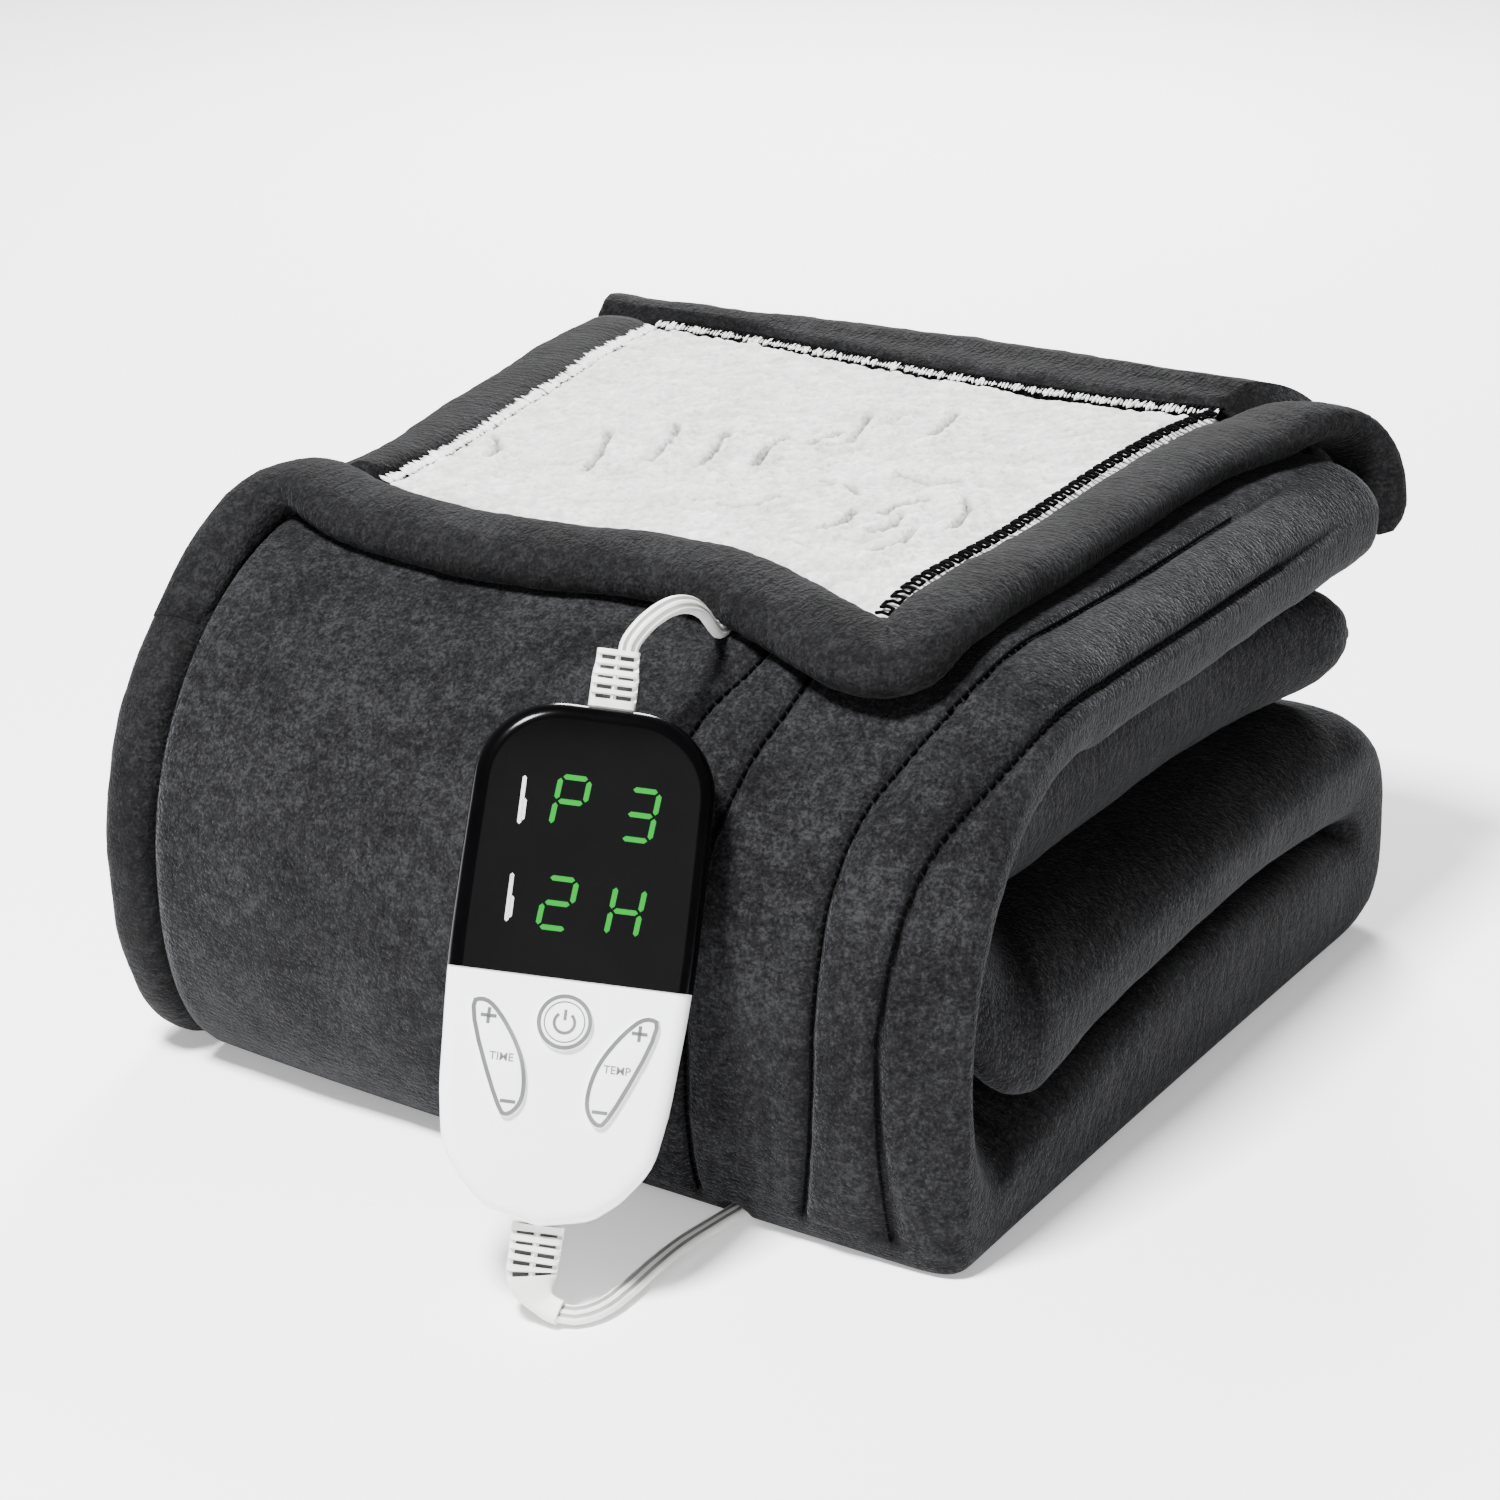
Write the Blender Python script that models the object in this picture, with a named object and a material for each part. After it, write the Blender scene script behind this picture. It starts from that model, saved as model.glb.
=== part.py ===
"""Electric heated blanket: a plush throw folded into a block, with its sherpa side turned up on top,
and its hand controller standing against the front on its lower strain relief.

Sizes are in millimetres, measured from the block's front left lower corner: x along the front,
y towards the back, z up. The object itself is in metres, with its origin under the block's middle.
"""

import math

import bmesh
import bpy
import numpy as np
from mathutils import Matrix, Vector

MM = 0.001
ORIGIN = Vector((145.0, 150.0, 0.0))  # the block's middle, on the surface it lies on
GAP = 0.4  # between a piece and the one it is seated in

# The folded strip of cloth
WIDTH = 290.0
PACK = 37.0  # four plies with their gaps
TOP_Z = 162.0
PLY = 0.232  # of the pack's thickness
PLY_GAP = 0.024
BACK_END = 293.0  # the top run's rounded back end
END_ROUND = 17.0
FOLD_Y = 270.0  # where the back fold starts to turn
BACK_REACH = 38.0
NOSE_Z = 70.0  # height where the front stands furthest out
CROWN_Y = 84.0
MIDDLE_Z = 39.0  # between the bottom run and the one on it
INNER_Z = 79.0  # between the middle run and the inner one
INNER_TOP = 118.0
TOP_UNDER = 128.0
FRONT_FOLD_Y = 78.0
FRONT_REACH = 38.0
INNER_END = 292.0
SHOULDER_X = 262.0  # where the folded edge on the right starts to round
RIM = 0.25  # thickness of the front's right rim, of the pack
FRONT_SWELL = 9.0

# The flap on top
FLAP = 11.5  # thickness
BIND_WIDE = 12.5  # half sizes of the rolled binding
BIND_HIGH = 7.5
CORNER_LIFT = 3.5
CURL_STEPS = 8  # of the right binding's way over the top run's back end
CURL_END = math.radians(112)
END_Z = (TOP_Z + TOP_UNDER) / 2
HOOD_THICK = 10.5
# Middles of the bound edges: y at each x, or x at each y
FRONT_EDGE = ((12, 87.5), (28, 76.5), (50, 67.5), (82, 62.5), (116, 62.5), (150, 65.5), (172, 64.5), (194, 58.5),
              (218, 48.5), (246.5, 38.5))
RIGHT_EDGE = ((38.5, 246.5), (60, 248.5), (100, 249.5), (170, 248.5), (215, 248.5), (245, 250), (276, 255))
LEFT_EDGE = ((92, 34), (128, 30), (160, 26), (195, 22), (247, 13), (284, 9))
BACK_EDGE = ((0, 279), (60, 277), (110, 271), (150, 266), (200, 266), (240, 274))  # seam of the back band

# The controller: its outline's half width at each height from its middle
CASE_HALF = ((-70.6, 0), (-68.4, 11), (-64.5, 18), (-58, 24.3), (-52.6, 27.8), (-42, 30.4), (-22, 32.2), (-4, 33.2),
             (20, 33.2), (47, 32.6))
CASE_TOP = 70.0
CASE_CORNER = 23.0
CASE_DEEP = 22.0
CASE_PLACE = (188.2, -34.5, 88.0)
CASE_TURN = math.radians(33.0)
CASE_LEAN = math.radians(24.1)
CASE_ROLL = math.radians(-8.3)
DISPLAY_FOOT = -3.9
DISPLAY_RIM = 2.2
KEY_Y = -15.3
KEY_RADIUS = 7.6
KEY_THICK = 2.2
KEY_PROUD = 0.8
KEY_TRAVEL = 0.8
POCKET = 0.45  # clearance round a key
# One row for each corner of the left rocker's outline, round from its top outer corner
ROCKER = ((-27.1, -12.6), (-21.2, -10.3), (-15.4, -15.8), (-9.8, -24.5), (-7.7, -32.3), (-8.0, -38.8), (-11.8, -43.0),
          (-15.3, -41.3))
# Strain reliefs: half width and half depth at the case, then at the tip
RELIEF_UP = (6.9, 5.0, 6.0, 3.8)
RELIEF_DOWN = (7.2, 5.2, 3.9, 3.6)
RELIEF_UP_LONG = 15.5
RELIEF_UP_SIDE = 1.8  # how far it stands to the right of the case's middle line
LEAD_SIDE = 2.6  # and its lead to the right of its own
RELIEF_DOWN_LONG = 15.0  # before it bends to the right, along the next route
RELIEF_BEND = ((199.3, -71.4, 7.4), (201.6, -72.1, 5.2), (204.5, -71.5, 4.2))

# The leads and the coil of spare mains lead behind the block
LEAD = 5.4  # diameter
COIL_CENTRE = (165.0, 362.0)
COIL_MEAN = 33.0
COIL_THICK = 7.6
COIL_CLEAR = 1.75  # from the coil to the middle of the lead's end
COIL_TOUCH = math.radians(-27.0)  # where the lead reaches the coil
MAINS_ROUTE = ((205.9, -71.1, 3.9), (208.9, -70.0, 3.3), (211.9, -66.6, 3.0), (213.9, -61.0, 3.0), (214.3, -52.0, 3.0),
               (213.6, -36.0, 3.0), (213.6, -20.0, 3.0), (215.2, -5.0, 3.0), (217.6, 14.0, 3.0), (219.0, 80.0, 3.0),
               (214.0, 170.0, 3.0), (206.0, 260.0, 3.0), (203.5, 315.0, 3.1))
UPPER_ROUTE = ((184.8, 8.0, 171.2), (186.6, 13.0, 174.0), (187.8, 19.0, 174.9), (188.2, 27.0, 173.4), (187.3, 35.0, 169.6),
               (185.6, 41.5, 165.2))
TROUGH_RADIUS = 4.6
PLUG = (36.0, 19.0, 19.0)
PLUG_Y = 405.3
PLUG_Z = 9.6

COLOURS = {
    "plush": ((0.058, 0.058, 0.062), 0.9),
    "binding": ((0.03, 0.03, 0.033), 0.9),
    "sherpa": ((0.86, 0.85, 0.82), 0.95),
    "white_case": ((0.84, 0.85, 0.87), 0.35),
    "key_white": ((0.8, 0.81, 0.83), 0.4),
    "display": ((0.005, 0.005, 0.006), 0.08),
    "lead_white": ((0.8, 0.8, 0.79), 0.5),
    "pin_metal": ((0.72, 0.7, 0.64), 0.3),
}


def material(name):
    """One Principled material for each colour, shared by the pieces made of it."""
    if name in bpy.data.materials:
        return bpy.data.materials[name]
    colour, roughness = COLOURS[name]
    made = bpy.data.materials.new(name)
    made.use_nodes = True
    shader = made.node_tree.nodes["Principled BSDF"]
    shader.inputs["Base Color"].default_value = (*colour, 1.0)
    shader.inputs["Roughness"].default_value = roughness
    shader.inputs["Metallic"].default_value = 1.0 if name == "pin_metal" else 0.0
    made.diffuse_color = (*colour, 1.0)
    return made


def place(point):
    """Millimetres from the block's corner to metres from the object's origin."""
    return (Vector(point) - ORIGIN) * MM


def add_mesh(name, points, faces, look):
    """An object from points in metres, with its faces turned outwards."""
    mesh = bpy.data.meshes.new(name)
    mesh.from_pydata([tuple(p) for p in points], [], faces)
    work = bmesh.new()
    work.from_mesh(mesh)
    bmesh.ops.remove_doubles(work, verts=work.verts, dist=2e-6)
    bmesh.ops.recalc_face_normals(work, faces=work.faces)
    work.to_mesh(mesh)
    work.free()
    mesh.materials.append(material(look))
    mesh.shade_smooth()
    mesh.set_sharp_from_angle(angle=math.radians(50))
    made = bpy.data.objects.new(name, mesh)
    bpy.context.collection.objects.link(made)
    return made


def loft(name, rings, look, loop=False):
    """A closed body through rings of equally many points; loop joins the last ring to the first."""
    count = len(rings[0])
    points = [point for ring in rings for point in ring]
    faces = []
    for i in range(len(rings) if loop else len(rings) - 1):
        here = i * count
        there = (i + 1) % len(rings) * count
        for j in range(count):
            k = (j + 1) % count
            faces.append((here + j, here + k, there + k, there + j))
    if not loop:
        faces.append(tuple(range(count)))
        faces.append(tuple(range((len(rings) - 1) * count, len(rings) * count)))
    return add_mesh(name, points, faces, look)


def smooth_value(table, at):
    """The second column of a table at a value of its first, on a smooth curve through its rows."""
    keys = np.array([row[0] for row in table], float)
    values = np.array([row[1] for row in table], float)
    slopes = np.gradient(values, keys)
    at = min(max(at, keys[0]), keys[-1])
    i = min(int(np.searchsorted(keys, at, side="right")) - 1, len(keys) - 2)
    step = keys[i + 1] - keys[i]
    t = (at - keys[i]) / step
    return float(
        (2 * t**3 - 3 * t**2 + 1) * values[i]
        + (t**3 - 2 * t**2 + t) * step * slopes[i]
        + (3 * t**2 - 2 * t**3) * values[i + 1]
        + (t**3 - t**2) * step * slopes[i + 1]
    )


def mix(a, b, t):
    return a + (b - a) * t


def quarter(t, power=2.0):
    """Cosine and sine over a quarter turn, squarer for a higher power."""
    angle = t * math.pi / 2
    return abs(math.cos(angle)) ** (2 / power), abs(math.sin(angle)) ** (2 / power)


# ---- the folded strip: where each run and fold puts its outer and inner face ----


def right_ramp(x):
    """0 on most of the width, rising to 1 over the rounded edge on the right."""
    return min(max((x - SHOULDER_X) / (WIDTH - SHOULDER_X), 0.0), 1.0)


def middle_seam(x, y):
    """Height between the bottom run and the one on it, which arches along the right edge."""
    arch = max(46.0 - 19.0 * ((y - 185.0) / 150.0) ** 2, 27.0)
    return mix(MIDDLE_Z, arch, right_ramp(x))


def swell(x, z):
    """How far the front stands out before its straight line."""
    high = 92.0 if z > NOSE_Z else NOSE_Z
    across = math.sin(math.pi * min(max(x / WIDTH, 0), 1))
    return FRONT_SWELL * max(across, 0) ** 0.6 * max(1 - ((z - NOSE_Z) / high) ** 2, 0)


def top_waves(x, y):
    """Soft unevenness of the top run, and its slump towards the left edge."""
    fade = min(max((y - CROWN_Y) / 50, 0), 1)
    wave = 1.1 * math.sin(y / 29 + x / 70) * math.sin(x / 52 + 0.6)
    return fade * wave - 2.0 * max((145 - x) / 145, 0) ** 4


def end_squeeze(distance):
    """How much of its thickness the pack keeps this far from a rounded end."""
    if distance >= END_ROUND:
        return 1.0
    return max(math.sqrt(1 - (1 - distance / END_ROUND) ** 2), 0.25)


def round_corner(x, keep):
    """Draws the right edge in towards a rounded end."""
    return x - max(x - SHOULDER_X, 0) * 0.55 * (1 - keep)


def top_run(t, x):
    y = mix(BACK_END, CROWN_Y, t**1.8)
    keep = end_squeeze(BACK_END - y)
    outer = TOP_Z + top_waves(x, y)
    middle = (outer + TOP_UNDER) / 2
    return round_corner(x, keep), (y, mix(middle, outer, keep)), (y, mix(middle, TOP_UNDER, keep))


def front_rim(outer, inner, share):
    """Pulls the inner face out towards the outer one."""
    return tuple(mix(o, i, share) for o, i in zip(outer, inner))


def crown_fold(t, x):
    c, s = quarter(t)
    outer = (CROWN_Y * (1 - s), NOSE_Z + (TOP_Z - NOSE_Z) * c + top_waves(x, CROWN_Y) * c)
    inner = (CROWN_Y - (CROWN_Y - PACK) * s, NOSE_Z + (TOP_UNDER - NOSE_Z) * c)
    inner = front_rim(outer, inner, 1 - (1 - RIM) * right_ramp(x) * t)
    return x, (outer[0] - swell(x, outer[1]), outer[1]), (inner[0] - swell(x, outer[1]), inner[1])


def foot_size(x):
    """How far the lower front corner reaches under, which shrinks towards the right."""
    return 40.0 - 33.0 * x / WIDTH


def foot_fold(t, x):
    c, s = quarter(t, 2.2 + 2.3 * x / WIDTH)
    outer = (foot_size(x) * (1 - c), NOSE_Z * (1 - s))
    inner_end = middle_seam(x, 45.0) - 1
    inner = (45.0 - 8.0 * c, mix(NOSE_Z, inner_end, s))
    inner = front_rim(outer, inner, 1 - (1 - RIM) * right_ramp(x) * (1 - t))
    return x, (outer[0] - swell(x, outer[1]), outer[1]), (inner[0] - swell(x, outer[1]), inner[1])


def bottom_run(t, x):
    y = mix(45.0, FOLD_Y, t)
    return x, (mix(foot_size(x), FOLD_Y, t), 0.0), (y, middle_seam(x, y) - 1)


def back_fold(t, x):
    seam = middle_seam(x, FOLD_Y)
    low = t < 0.5
    c, s = quarter(abs(2 * t - 1), 3.2 if low else 2.2)
    high = -seam if low else INNER_Z - 1 - seam
    return x, (FOLD_Y + BACK_REACH * c, seam + high * s), (FOLD_Y + c, seam + (-1 if low else 1) * s)


def forward(x):
    """How much further the inner front fold reaches at the right edge."""
    return 28.0 * right_ramp(x)


def middle_run(t, x):
    y = mix(FOLD_Y, FRONT_FOLD_Y - forward(x), t)
    return x, (y, INNER_Z - 1), (y, middle_seam(x, y) + 1)


def inner_shift(x, t):
    """The inner run's right edge lies back from the others, but for its back end."""
    back = 1.0 if t < 0.4 else 1 - 0.95 * ((t - 0.4) / 0.6) ** 1.3
    return 24.0 * min(max((x - 215.0) / 75.0, 0), 1) * back


def front_fold(t, x):
    low = t < 0.5
    c, s = quarter(abs(2 * t - 1))
    centre = FRONT_FOLD_Y - forward(x)
    under = middle_seam(x, centre) + 1
    edge = under if low else INNER_TOP
    shift = inner_shift(x, 0) * t
    sign = -1 if low else 1
    return x - shift, (centre - c, INNER_Z + sign * s), (centre - FRONT_REACH * c, mix(INNER_Z, edge, s))


def inner_run(t, x):
    y = mix(FRONT_FOLD_Y - forward(x), INNER_END, 1 - (1 - t) ** 1.8)
    keep = end_squeeze(INNER_END - y)
    low = INNER_Z + 1
    middle = (low + INNER_TOP) / 2
    puff = 5.0 * math.sin(math.pi * min(t * 1.1, 1)) * (1 - right_ramp(x))
    across = round_corner(x, keep) - inner_shift(x, t)
    return across, (y, mix(middle, low, keep)), (y, mix(middle, INNER_TOP + puff, keep))


STRETCHES = (
    # run or fold, steps along it
    (top_run, 7),
    (crown_fold, 7),
    (foot_fold, 6),
    (bottom_run, 4),
    (back_fold, 8),
    (middle_run, 4),
    (front_fold, 8),
    (inner_run, 6),
)


def shoulder_power(stretch, t):
    """How square the right edge's outer corner is: round on top, squarer where the block stands."""
    powers = {foot_fold: mix(2.0, 6.0, t), bottom_run: 6.0, back_fold: mix(6.0, 2.0, t)}
    return powers.get(stretch, 2.0)


def square_corner(x, depth, power):
    """Moves a section point of the rounded right edge outwards, for a squarer corner."""
    if x <= SHOULDER_X or depth >= 0.5:
        return x, depth
    reach = WIDTH - SHOULDER_X
    c = (x - SHOULDER_X) / reach
    s = 1 - 2 * depth
    size = math.hypot(c, s)
    c, s = c / size, s / size
    return SHOULDER_X + size * reach * c ** (2 / power), 0.5 - size * 0.5 * s ** (2 / power)


def strip_point(stretch, t, x, depth):
    """A point of the strip: x across it, and its depth from the outer face as a share of the pack."""
    x, depth = square_corner(x, depth, shoulder_power(stretch, t))
    across, outer, inner = stretch(t, x)
    return (across, mix(outer[0], inner[0], depth), mix(outer[1], inner[1], depth))


def stations():
    """(run or fold, share of the way along it) for each ring of the strip."""
    found = []
    for stretch, steps in STRETCHES:
        found += [(stretch, i / steps) for i in range(steps)]
    return found + [(inner_run, 1.0)]


def round_edge(centre_x, depth, reach, half, start, end, steps, power=2.0):
    """Section points on an arc in width and depth, from one angle to another in degrees."""
    points = []
    for i in range(1, steps):
        angle = math.radians(mix(start, end, i / steps))
        c = math.copysign(abs(math.cos(angle)) ** (2 / power), math.cos(angle))
        s = math.copysign(abs(math.sin(angle)) ** (2 / power), math.sin(angle))
        points.append((centre_x + reach * c, depth + half * s))
    return points


def ply_section():
    """Outline of the four plies as one cloth folded back and forth: (x, depth) pairs.

    The outer ply wraps round the right edge and comes back as the innermost, folds on the left,
    and turns once more inside.
    """
    tops = [i * (PLY + PLY_GAP) for i in range(4)]
    feet = [top + PLY for top in tops]
    columns = (105.0, 185.0)
    back = columns[::-1]
    left, inside = 16.0, 250.0
    outline = [(21.0, tops[0] + 0.02), (25.0, tops[0])]
    outline += [(x, tops[0]) for x in columns] + [(SHOULDER_X, tops[0])]
    outline += round_edge(SHOULDER_X, 0.5, WIDTH - SHOULDER_X, 0.5, -90, 0, 5)
    outline += [(WIDTH, 0.5)]
    outline += round_edge(SHOULDER_X, 0.5, WIDTH - SHOULDER_X, 0.5, 0, 90, 4, 3.6)
    outline += [(x, feet[3]) for x in (SHOULDER_X, *back, left)]
    outline += round_edge(left, (tops[2] + 1) / 2, 13.0, (1 - tops[2]) / 2, 90, 270, 6)
    outline += [(x, tops[2]) for x in (left, *columns, inside)]
    outline += round_edge(inside, tops[2] - PLY_GAP / 2, 1.0, PLY_GAP / 2, 90, -90, 2)
    outline += [(x, feet[1]) for x in (inside, *back, 25.0)]
    outline += [(21.5, (tops[1] + feet[1]) / 2)]
    outline += [(x, tops[1]) for x in (25.0, *columns, inside)]
    outline += round_edge(inside, (tops[1] + feet[2]) / 2, 10.0, (feet[2] - tops[1]) / 2, -90, 90, 5)
    outline += [(x, feet[2]) for x in (inside, *back, left)]
    outline += round_edge(left, feet[2] + PLY_GAP / 2, 1.0, PLY_GAP / 2, 270, 90, 2)
    outline += [(x, tops[3]) for x in (left, *columns, SHOULDER_X)]
    outline += round_edge(SHOULDER_X, 0.5, 12.0, 0.5 - PLY, 90, -90, 5)
    outline += [(x, feet[0]) for x in (SHOULDER_X, *back, 25.0)]
    outline += [(21.0, feet[0] - 0.02), (19.5, PLY / 2)]
    return outline


def plush_cloth():
    section = ply_section()
    rings = []
    for stretch, t in stations():
        rings.append([place(strip_point(stretch, t, x, depth)) for x, depth in section])
    cloth = loft("plush_cloth", rings, "plush")
    trough = tube_mesh("lead_trough", mains_path(40)[4:], TROUGH_RADIUS, 10, "plush")
    trough.hide_render = True
    trough.display_type = "WIRE"
    cut = cloth.modifiers.new("lead_trough", "BOOLEAN")
    cut.operation = "DIFFERENCE"
    cut.object = trough
    return cloth


def binding_side():
    """The rolled binding sewn along the strip's left edge, round every run and fold."""
    proud = {crown_fold: lambda t: t, foot_fold: lambda t: 1 - t}
    rings = []
    for stretch, t in stations():
        rise = 0.055 * proud.get(stretch, lambda share: 0.0)(t)
        ring = []
        for i in range(10):
            angle = 2 * math.pi * i / 10
            c = math.copysign(abs(math.cos(angle)) ** 0.8, math.cos(angle))
            s = math.copysign(abs(math.sin(angle)) ** 0.8, math.sin(angle))
            depth = 0.225 + 0.215 * s if s > 0 else 0.225 + (0.215 + rise) * s
            ring.append(place(strip_point(stretch, t, 7.5 + 10.5 * c, depth)))
        rings.append(ring)
    return loft("binding_side", rings, "binding")


# ---- the flap: sherpa side up, with its bound edges ----


def top_height(x, y):
    """Height of the strip's top under the flap."""
    if y >= CROWN_Y:
        return TOP_Z + top_waves(x, y)
    c = math.sqrt(max(1 - ((CROWN_Y - y) / CROWN_Y) ** 2, 0))
    return NOSE_Z + (TOP_Z - NOSE_Z) * c + top_waves(x, CROWN_Y) * c


def top_normal(x, y):
    slope_x = (top_height(x + 2, y) - top_height(x - 2, y)) / 4
    slope_y = (top_height(x, y + 2) - top_height(x, y - 2)) / 4
    return Vector((-slope_x, -slope_y, 1)).normalized()


def slope_factor(table, at):
    """How much an offset along an axis grows where an edge runs aslant."""
    slope = (smooth_value(table, at + 1) - smooth_value(table, at - 1)) / 2
    return math.sqrt(1 + slope * slope)


def right_half(y):
    """Half width of the right binding, which widens into a hood over the back end."""
    return mix(BIND_WIDE, 15.0, min(max((y - 205) / 65, 0), 1) ** 1.5)


def flap_corner(u, v):
    """A point of the sherpa panel, u from left to right and v from front to back."""
    x, y = mix(30, 236, u), mix(80, 275, v)
    for _ in range(12):
        reach = BIND_WIDE + 0.8
        low = smooth_value(FRONT_EDGE, x) + reach * slope_factor(FRONT_EDGE, x)
        high = smooth_value(BACK_EDGE, x)
        left = smooth_value(LEFT_EDGE, y) + reach * slope_factor(LEFT_EDGE, y)
        right = smooth_value(RIGHT_EDGE, y) - (right_half(y) + 0.8) * slope_factor(RIGHT_EDGE, y)
        y = mix(low, high, v)
        x = mix(left, right, u)
    return x, y


def sherpa_panel():
    across, along = 12, 13
    under, over = [], []
    for j in range(along + 1):
        for i in range(across + 1):
            x, y = flap_corner(i / across, j / along)
            rim = min(i, j, across - i, along - j)
            low = top_height(x, y) + 1.0
            puff = 0.9 * math.sin(x / 17 + y / 40) * math.sin(y / 23)
            under.append(place((x, y, low)))
            over.append(place((x, y, low + FLAP - (2.2 if rim == 0 else 0) + (puff if rim > 1 else 0))))
    wide = across + 1
    count = len(under)
    faces = []
    for j in range(along):
        for i in range(across):
            a = j * wide + i
            faces.append((a, a + wide, a + wide + 1, a + 1))
            faces.append((count + a, count + a + 1, count + a + wide + 1, count + a + wide))
    edge = [i for i in range(wide)]
    edge += [j * wide + across for j in range(1, along + 1)]
    edge += [along * wide + i for i in range(across - 1, -1, -1)]
    edge += [j * wide for j in range(along - 1, 0, -1)]
    for a, b in zip(edge, edge[1:] + edge[:1]):
        faces.append((a, b, count + b, count + a))
    return add_mesh("sherpa_panel", under + over, faces, "sherpa")


def band(name, path, ups, sizes, look, sides=12):
    """A rolled band along a path: its section lies on the half-angle of each turn."""
    path = [Vector(p) for p in path]
    rings = []
    for i, point in enumerate(path):
        before = (point - path[i - 1]).normalized() if i else None
        after = (path[i + 1] - point).normalized() if i < len(path) - 1 else None
        along = ((before or after) + (after or before)).normalized()
        widen = 1 / max(along.dot(after or before), 0.5)
        side = along.cross(ups[i]).normalized()
        up = side.cross(along).normalized()
        wide, high = sizes[i]
        ring = []
        for k in range(sides):
            angle = 2 * math.pi * k / sides
            c = math.copysign(abs(math.cos(angle)) ** 0.85, math.cos(angle))
            s = math.copysign(abs(math.sin(angle)) ** 0.85, math.sin(angle))
            ring.append(place(point + side * (wide * widen * c) + up * (high * s)))
        rings.append(ring)
    return loft(name, rings, look)


def hood_point(angle, reach_y, reach_z, power=2.8):
    """Place over the top run's back end at an angle from straight up, on a squarish round."""
    c = math.copysign(abs(math.cos(angle)) ** (2 / power), math.cos(angle))
    s = abs(math.sin(angle)) ** (2 / power)
    return BACK_END - END_ROUND + reach_y * s, END_Z + reach_z * c


def curl_point(share, reach):
    """The right binding's way over the top run's back end, this far out from the end's middle."""
    x = mix(256.0, 284.0, share**0.8)
    y, z = hood_point(CURL_END * share, reach + 1.5, reach)
    return Vector((x, y, z))


def curl_half(share):
    return mix(15.5, 9.0, share)


def binding_flap():
    """The binding of the flap's front edge, round its corner and along the right, then over the back."""
    path, ups, sizes = [], [], []
    for i in range(17):
        x = mix(12.0, 236.0, i / 16)
        y = smooth_value(FRONT_EDGE, x)
        end = min(1.0, 0.55 + 0.25 * i)
        lift = CORNER_LIFT * min(max((x - 200) / 36, 0), 1)
        path.append((x, y, top_height(x, y) + BIND_HIGH * end + 0.9 + lift))
        ups.append(top_normal(x, y))
        sizes.append((BIND_WIDE * end, BIND_HIGH * end))
    for i in range(15):
        y = mix(41.0, 268.0, i / 14)
        x = smooth_value(RIGHT_EDGE, y)
        high = mix(BIND_HIGH, 6.0, i / 14)
        lift = CORNER_LIFT * min(max((75 - y) / 34, 0), 1)
        path.append((x, y, top_height(x, y) + high + 0.8 + lift))
        ups.append(top_normal(x, y) if y > 60 else Vector((0, -0.25, 1)).normalized())
        sizes.append((right_half(y), high))
    for i in range(1, CURL_STEPS + 1):
        share = i / CURL_STEPS
        point = curl_point(share, END_ROUND + 9.0)
        path.append(point)
        ups.append((curl_point(share, 30.0) - curl_point(share, 10.0)).normalized())
        sizes.append((curl_half(share), 6.0))
    return band("binding_flap", path, ups, sizes, "binding")


def binding_left():
    path, ups, sizes = [], [], []
    front, rear = 90.5, 277.0
    for i in range(13):
        y = mix(front, rear, i / 12)
        x = smooth_value(LEFT_EDGE, y)
        wide = mix(6.0, BIND_WIDE, min(i / 4, 1))
        path.append((x, y, top_height(x, y) + 6.4))
        ups.append(top_normal(x, y))
        sizes.append((wide, 5.5))
    return band("binding_left", path, ups, sizes, "binding")


def binding_back():
    """The wide band that wraps over the top run's back end: a bent sheet along the back edge."""
    turns = (-1, 0, 20, 42, 64, 86, 104)  # degrees round the end; the first row is the seam
    columns = 15
    inner, outer = [], []
    for i in range(columns):
        u = i / (columns - 1)
        lining, skin = [], []
        for turn in turns:
            angle = math.radians(max(turn, 0))
            share = angle / CURL_END
            right = curl_point(share, 0).x - (curl_half(share) + 1.2) * 1.3
            x = mix(-1.0, right, u)
            for ring, extra in ((lining, 0.0), (skin, HOOD_THICK)):
                if extra:
                    y, z = hood_point(angle, END_ROUND + 21.0, END_ROUND + 14.5)
                else:
                    y, z = hood_point(angle, END_ROUND + 1.5, END_ROUND + 1.5, 2.0)
                if turn < 0:
                    y = smooth_value(BACK_EDGE, x) + 1.4
                    z = top_height(x, y) + 1.0 + extra * 0.9
                elif turn == 0:
                    y = max(y, smooth_value(BACK_EDGE, x) + 5.0)
                    z = top_height(x, y) + 1.0 + extra * 1.25
                ring.append(place((x, y, z)))
        inner.append(lining)
        outer.append(skin)
    rings = [a + b[::-1] for a, b in zip(inner, outer)]
    return loft("binding_back", rings, "binding")


# ---- the controller ----


def case_matrix():
    """The controller's own frame: x to its right, y up its length, z out of its face."""
    turn = Matrix.Rotation(CASE_TURN, 4, "Z") @ Matrix.Rotation(math.pi / 2 - CASE_LEAN, 4, "X")
    return Matrix.Translation(place(CASE_PLACE)) @ turn @ Matrix.Rotation(CASE_ROLL, 4, "Z")


def case_outline():
    """Half the case's outline, bottom to top, as (half width, height)."""
    points = [(half, y) for y, half in CASE_HALF]
    edge = points[-1][0] - CASE_CORNER
    for degrees in (22, 45, 67):
        a = math.radians(degrees)
        points.append((edge + CASE_CORNER * math.cos(a), CASE_TOP - CASE_CORNER + CASE_CORNER * math.sin(a)))
    points.append((edge, CASE_TOP))
    return points + [(0.0, CASE_TOP + 0.6)]


def full_outline(half):
    mirrored = [(-x, y) for x, y in half[::-1] if x > 0.01]
    return half + mirrored


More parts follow.
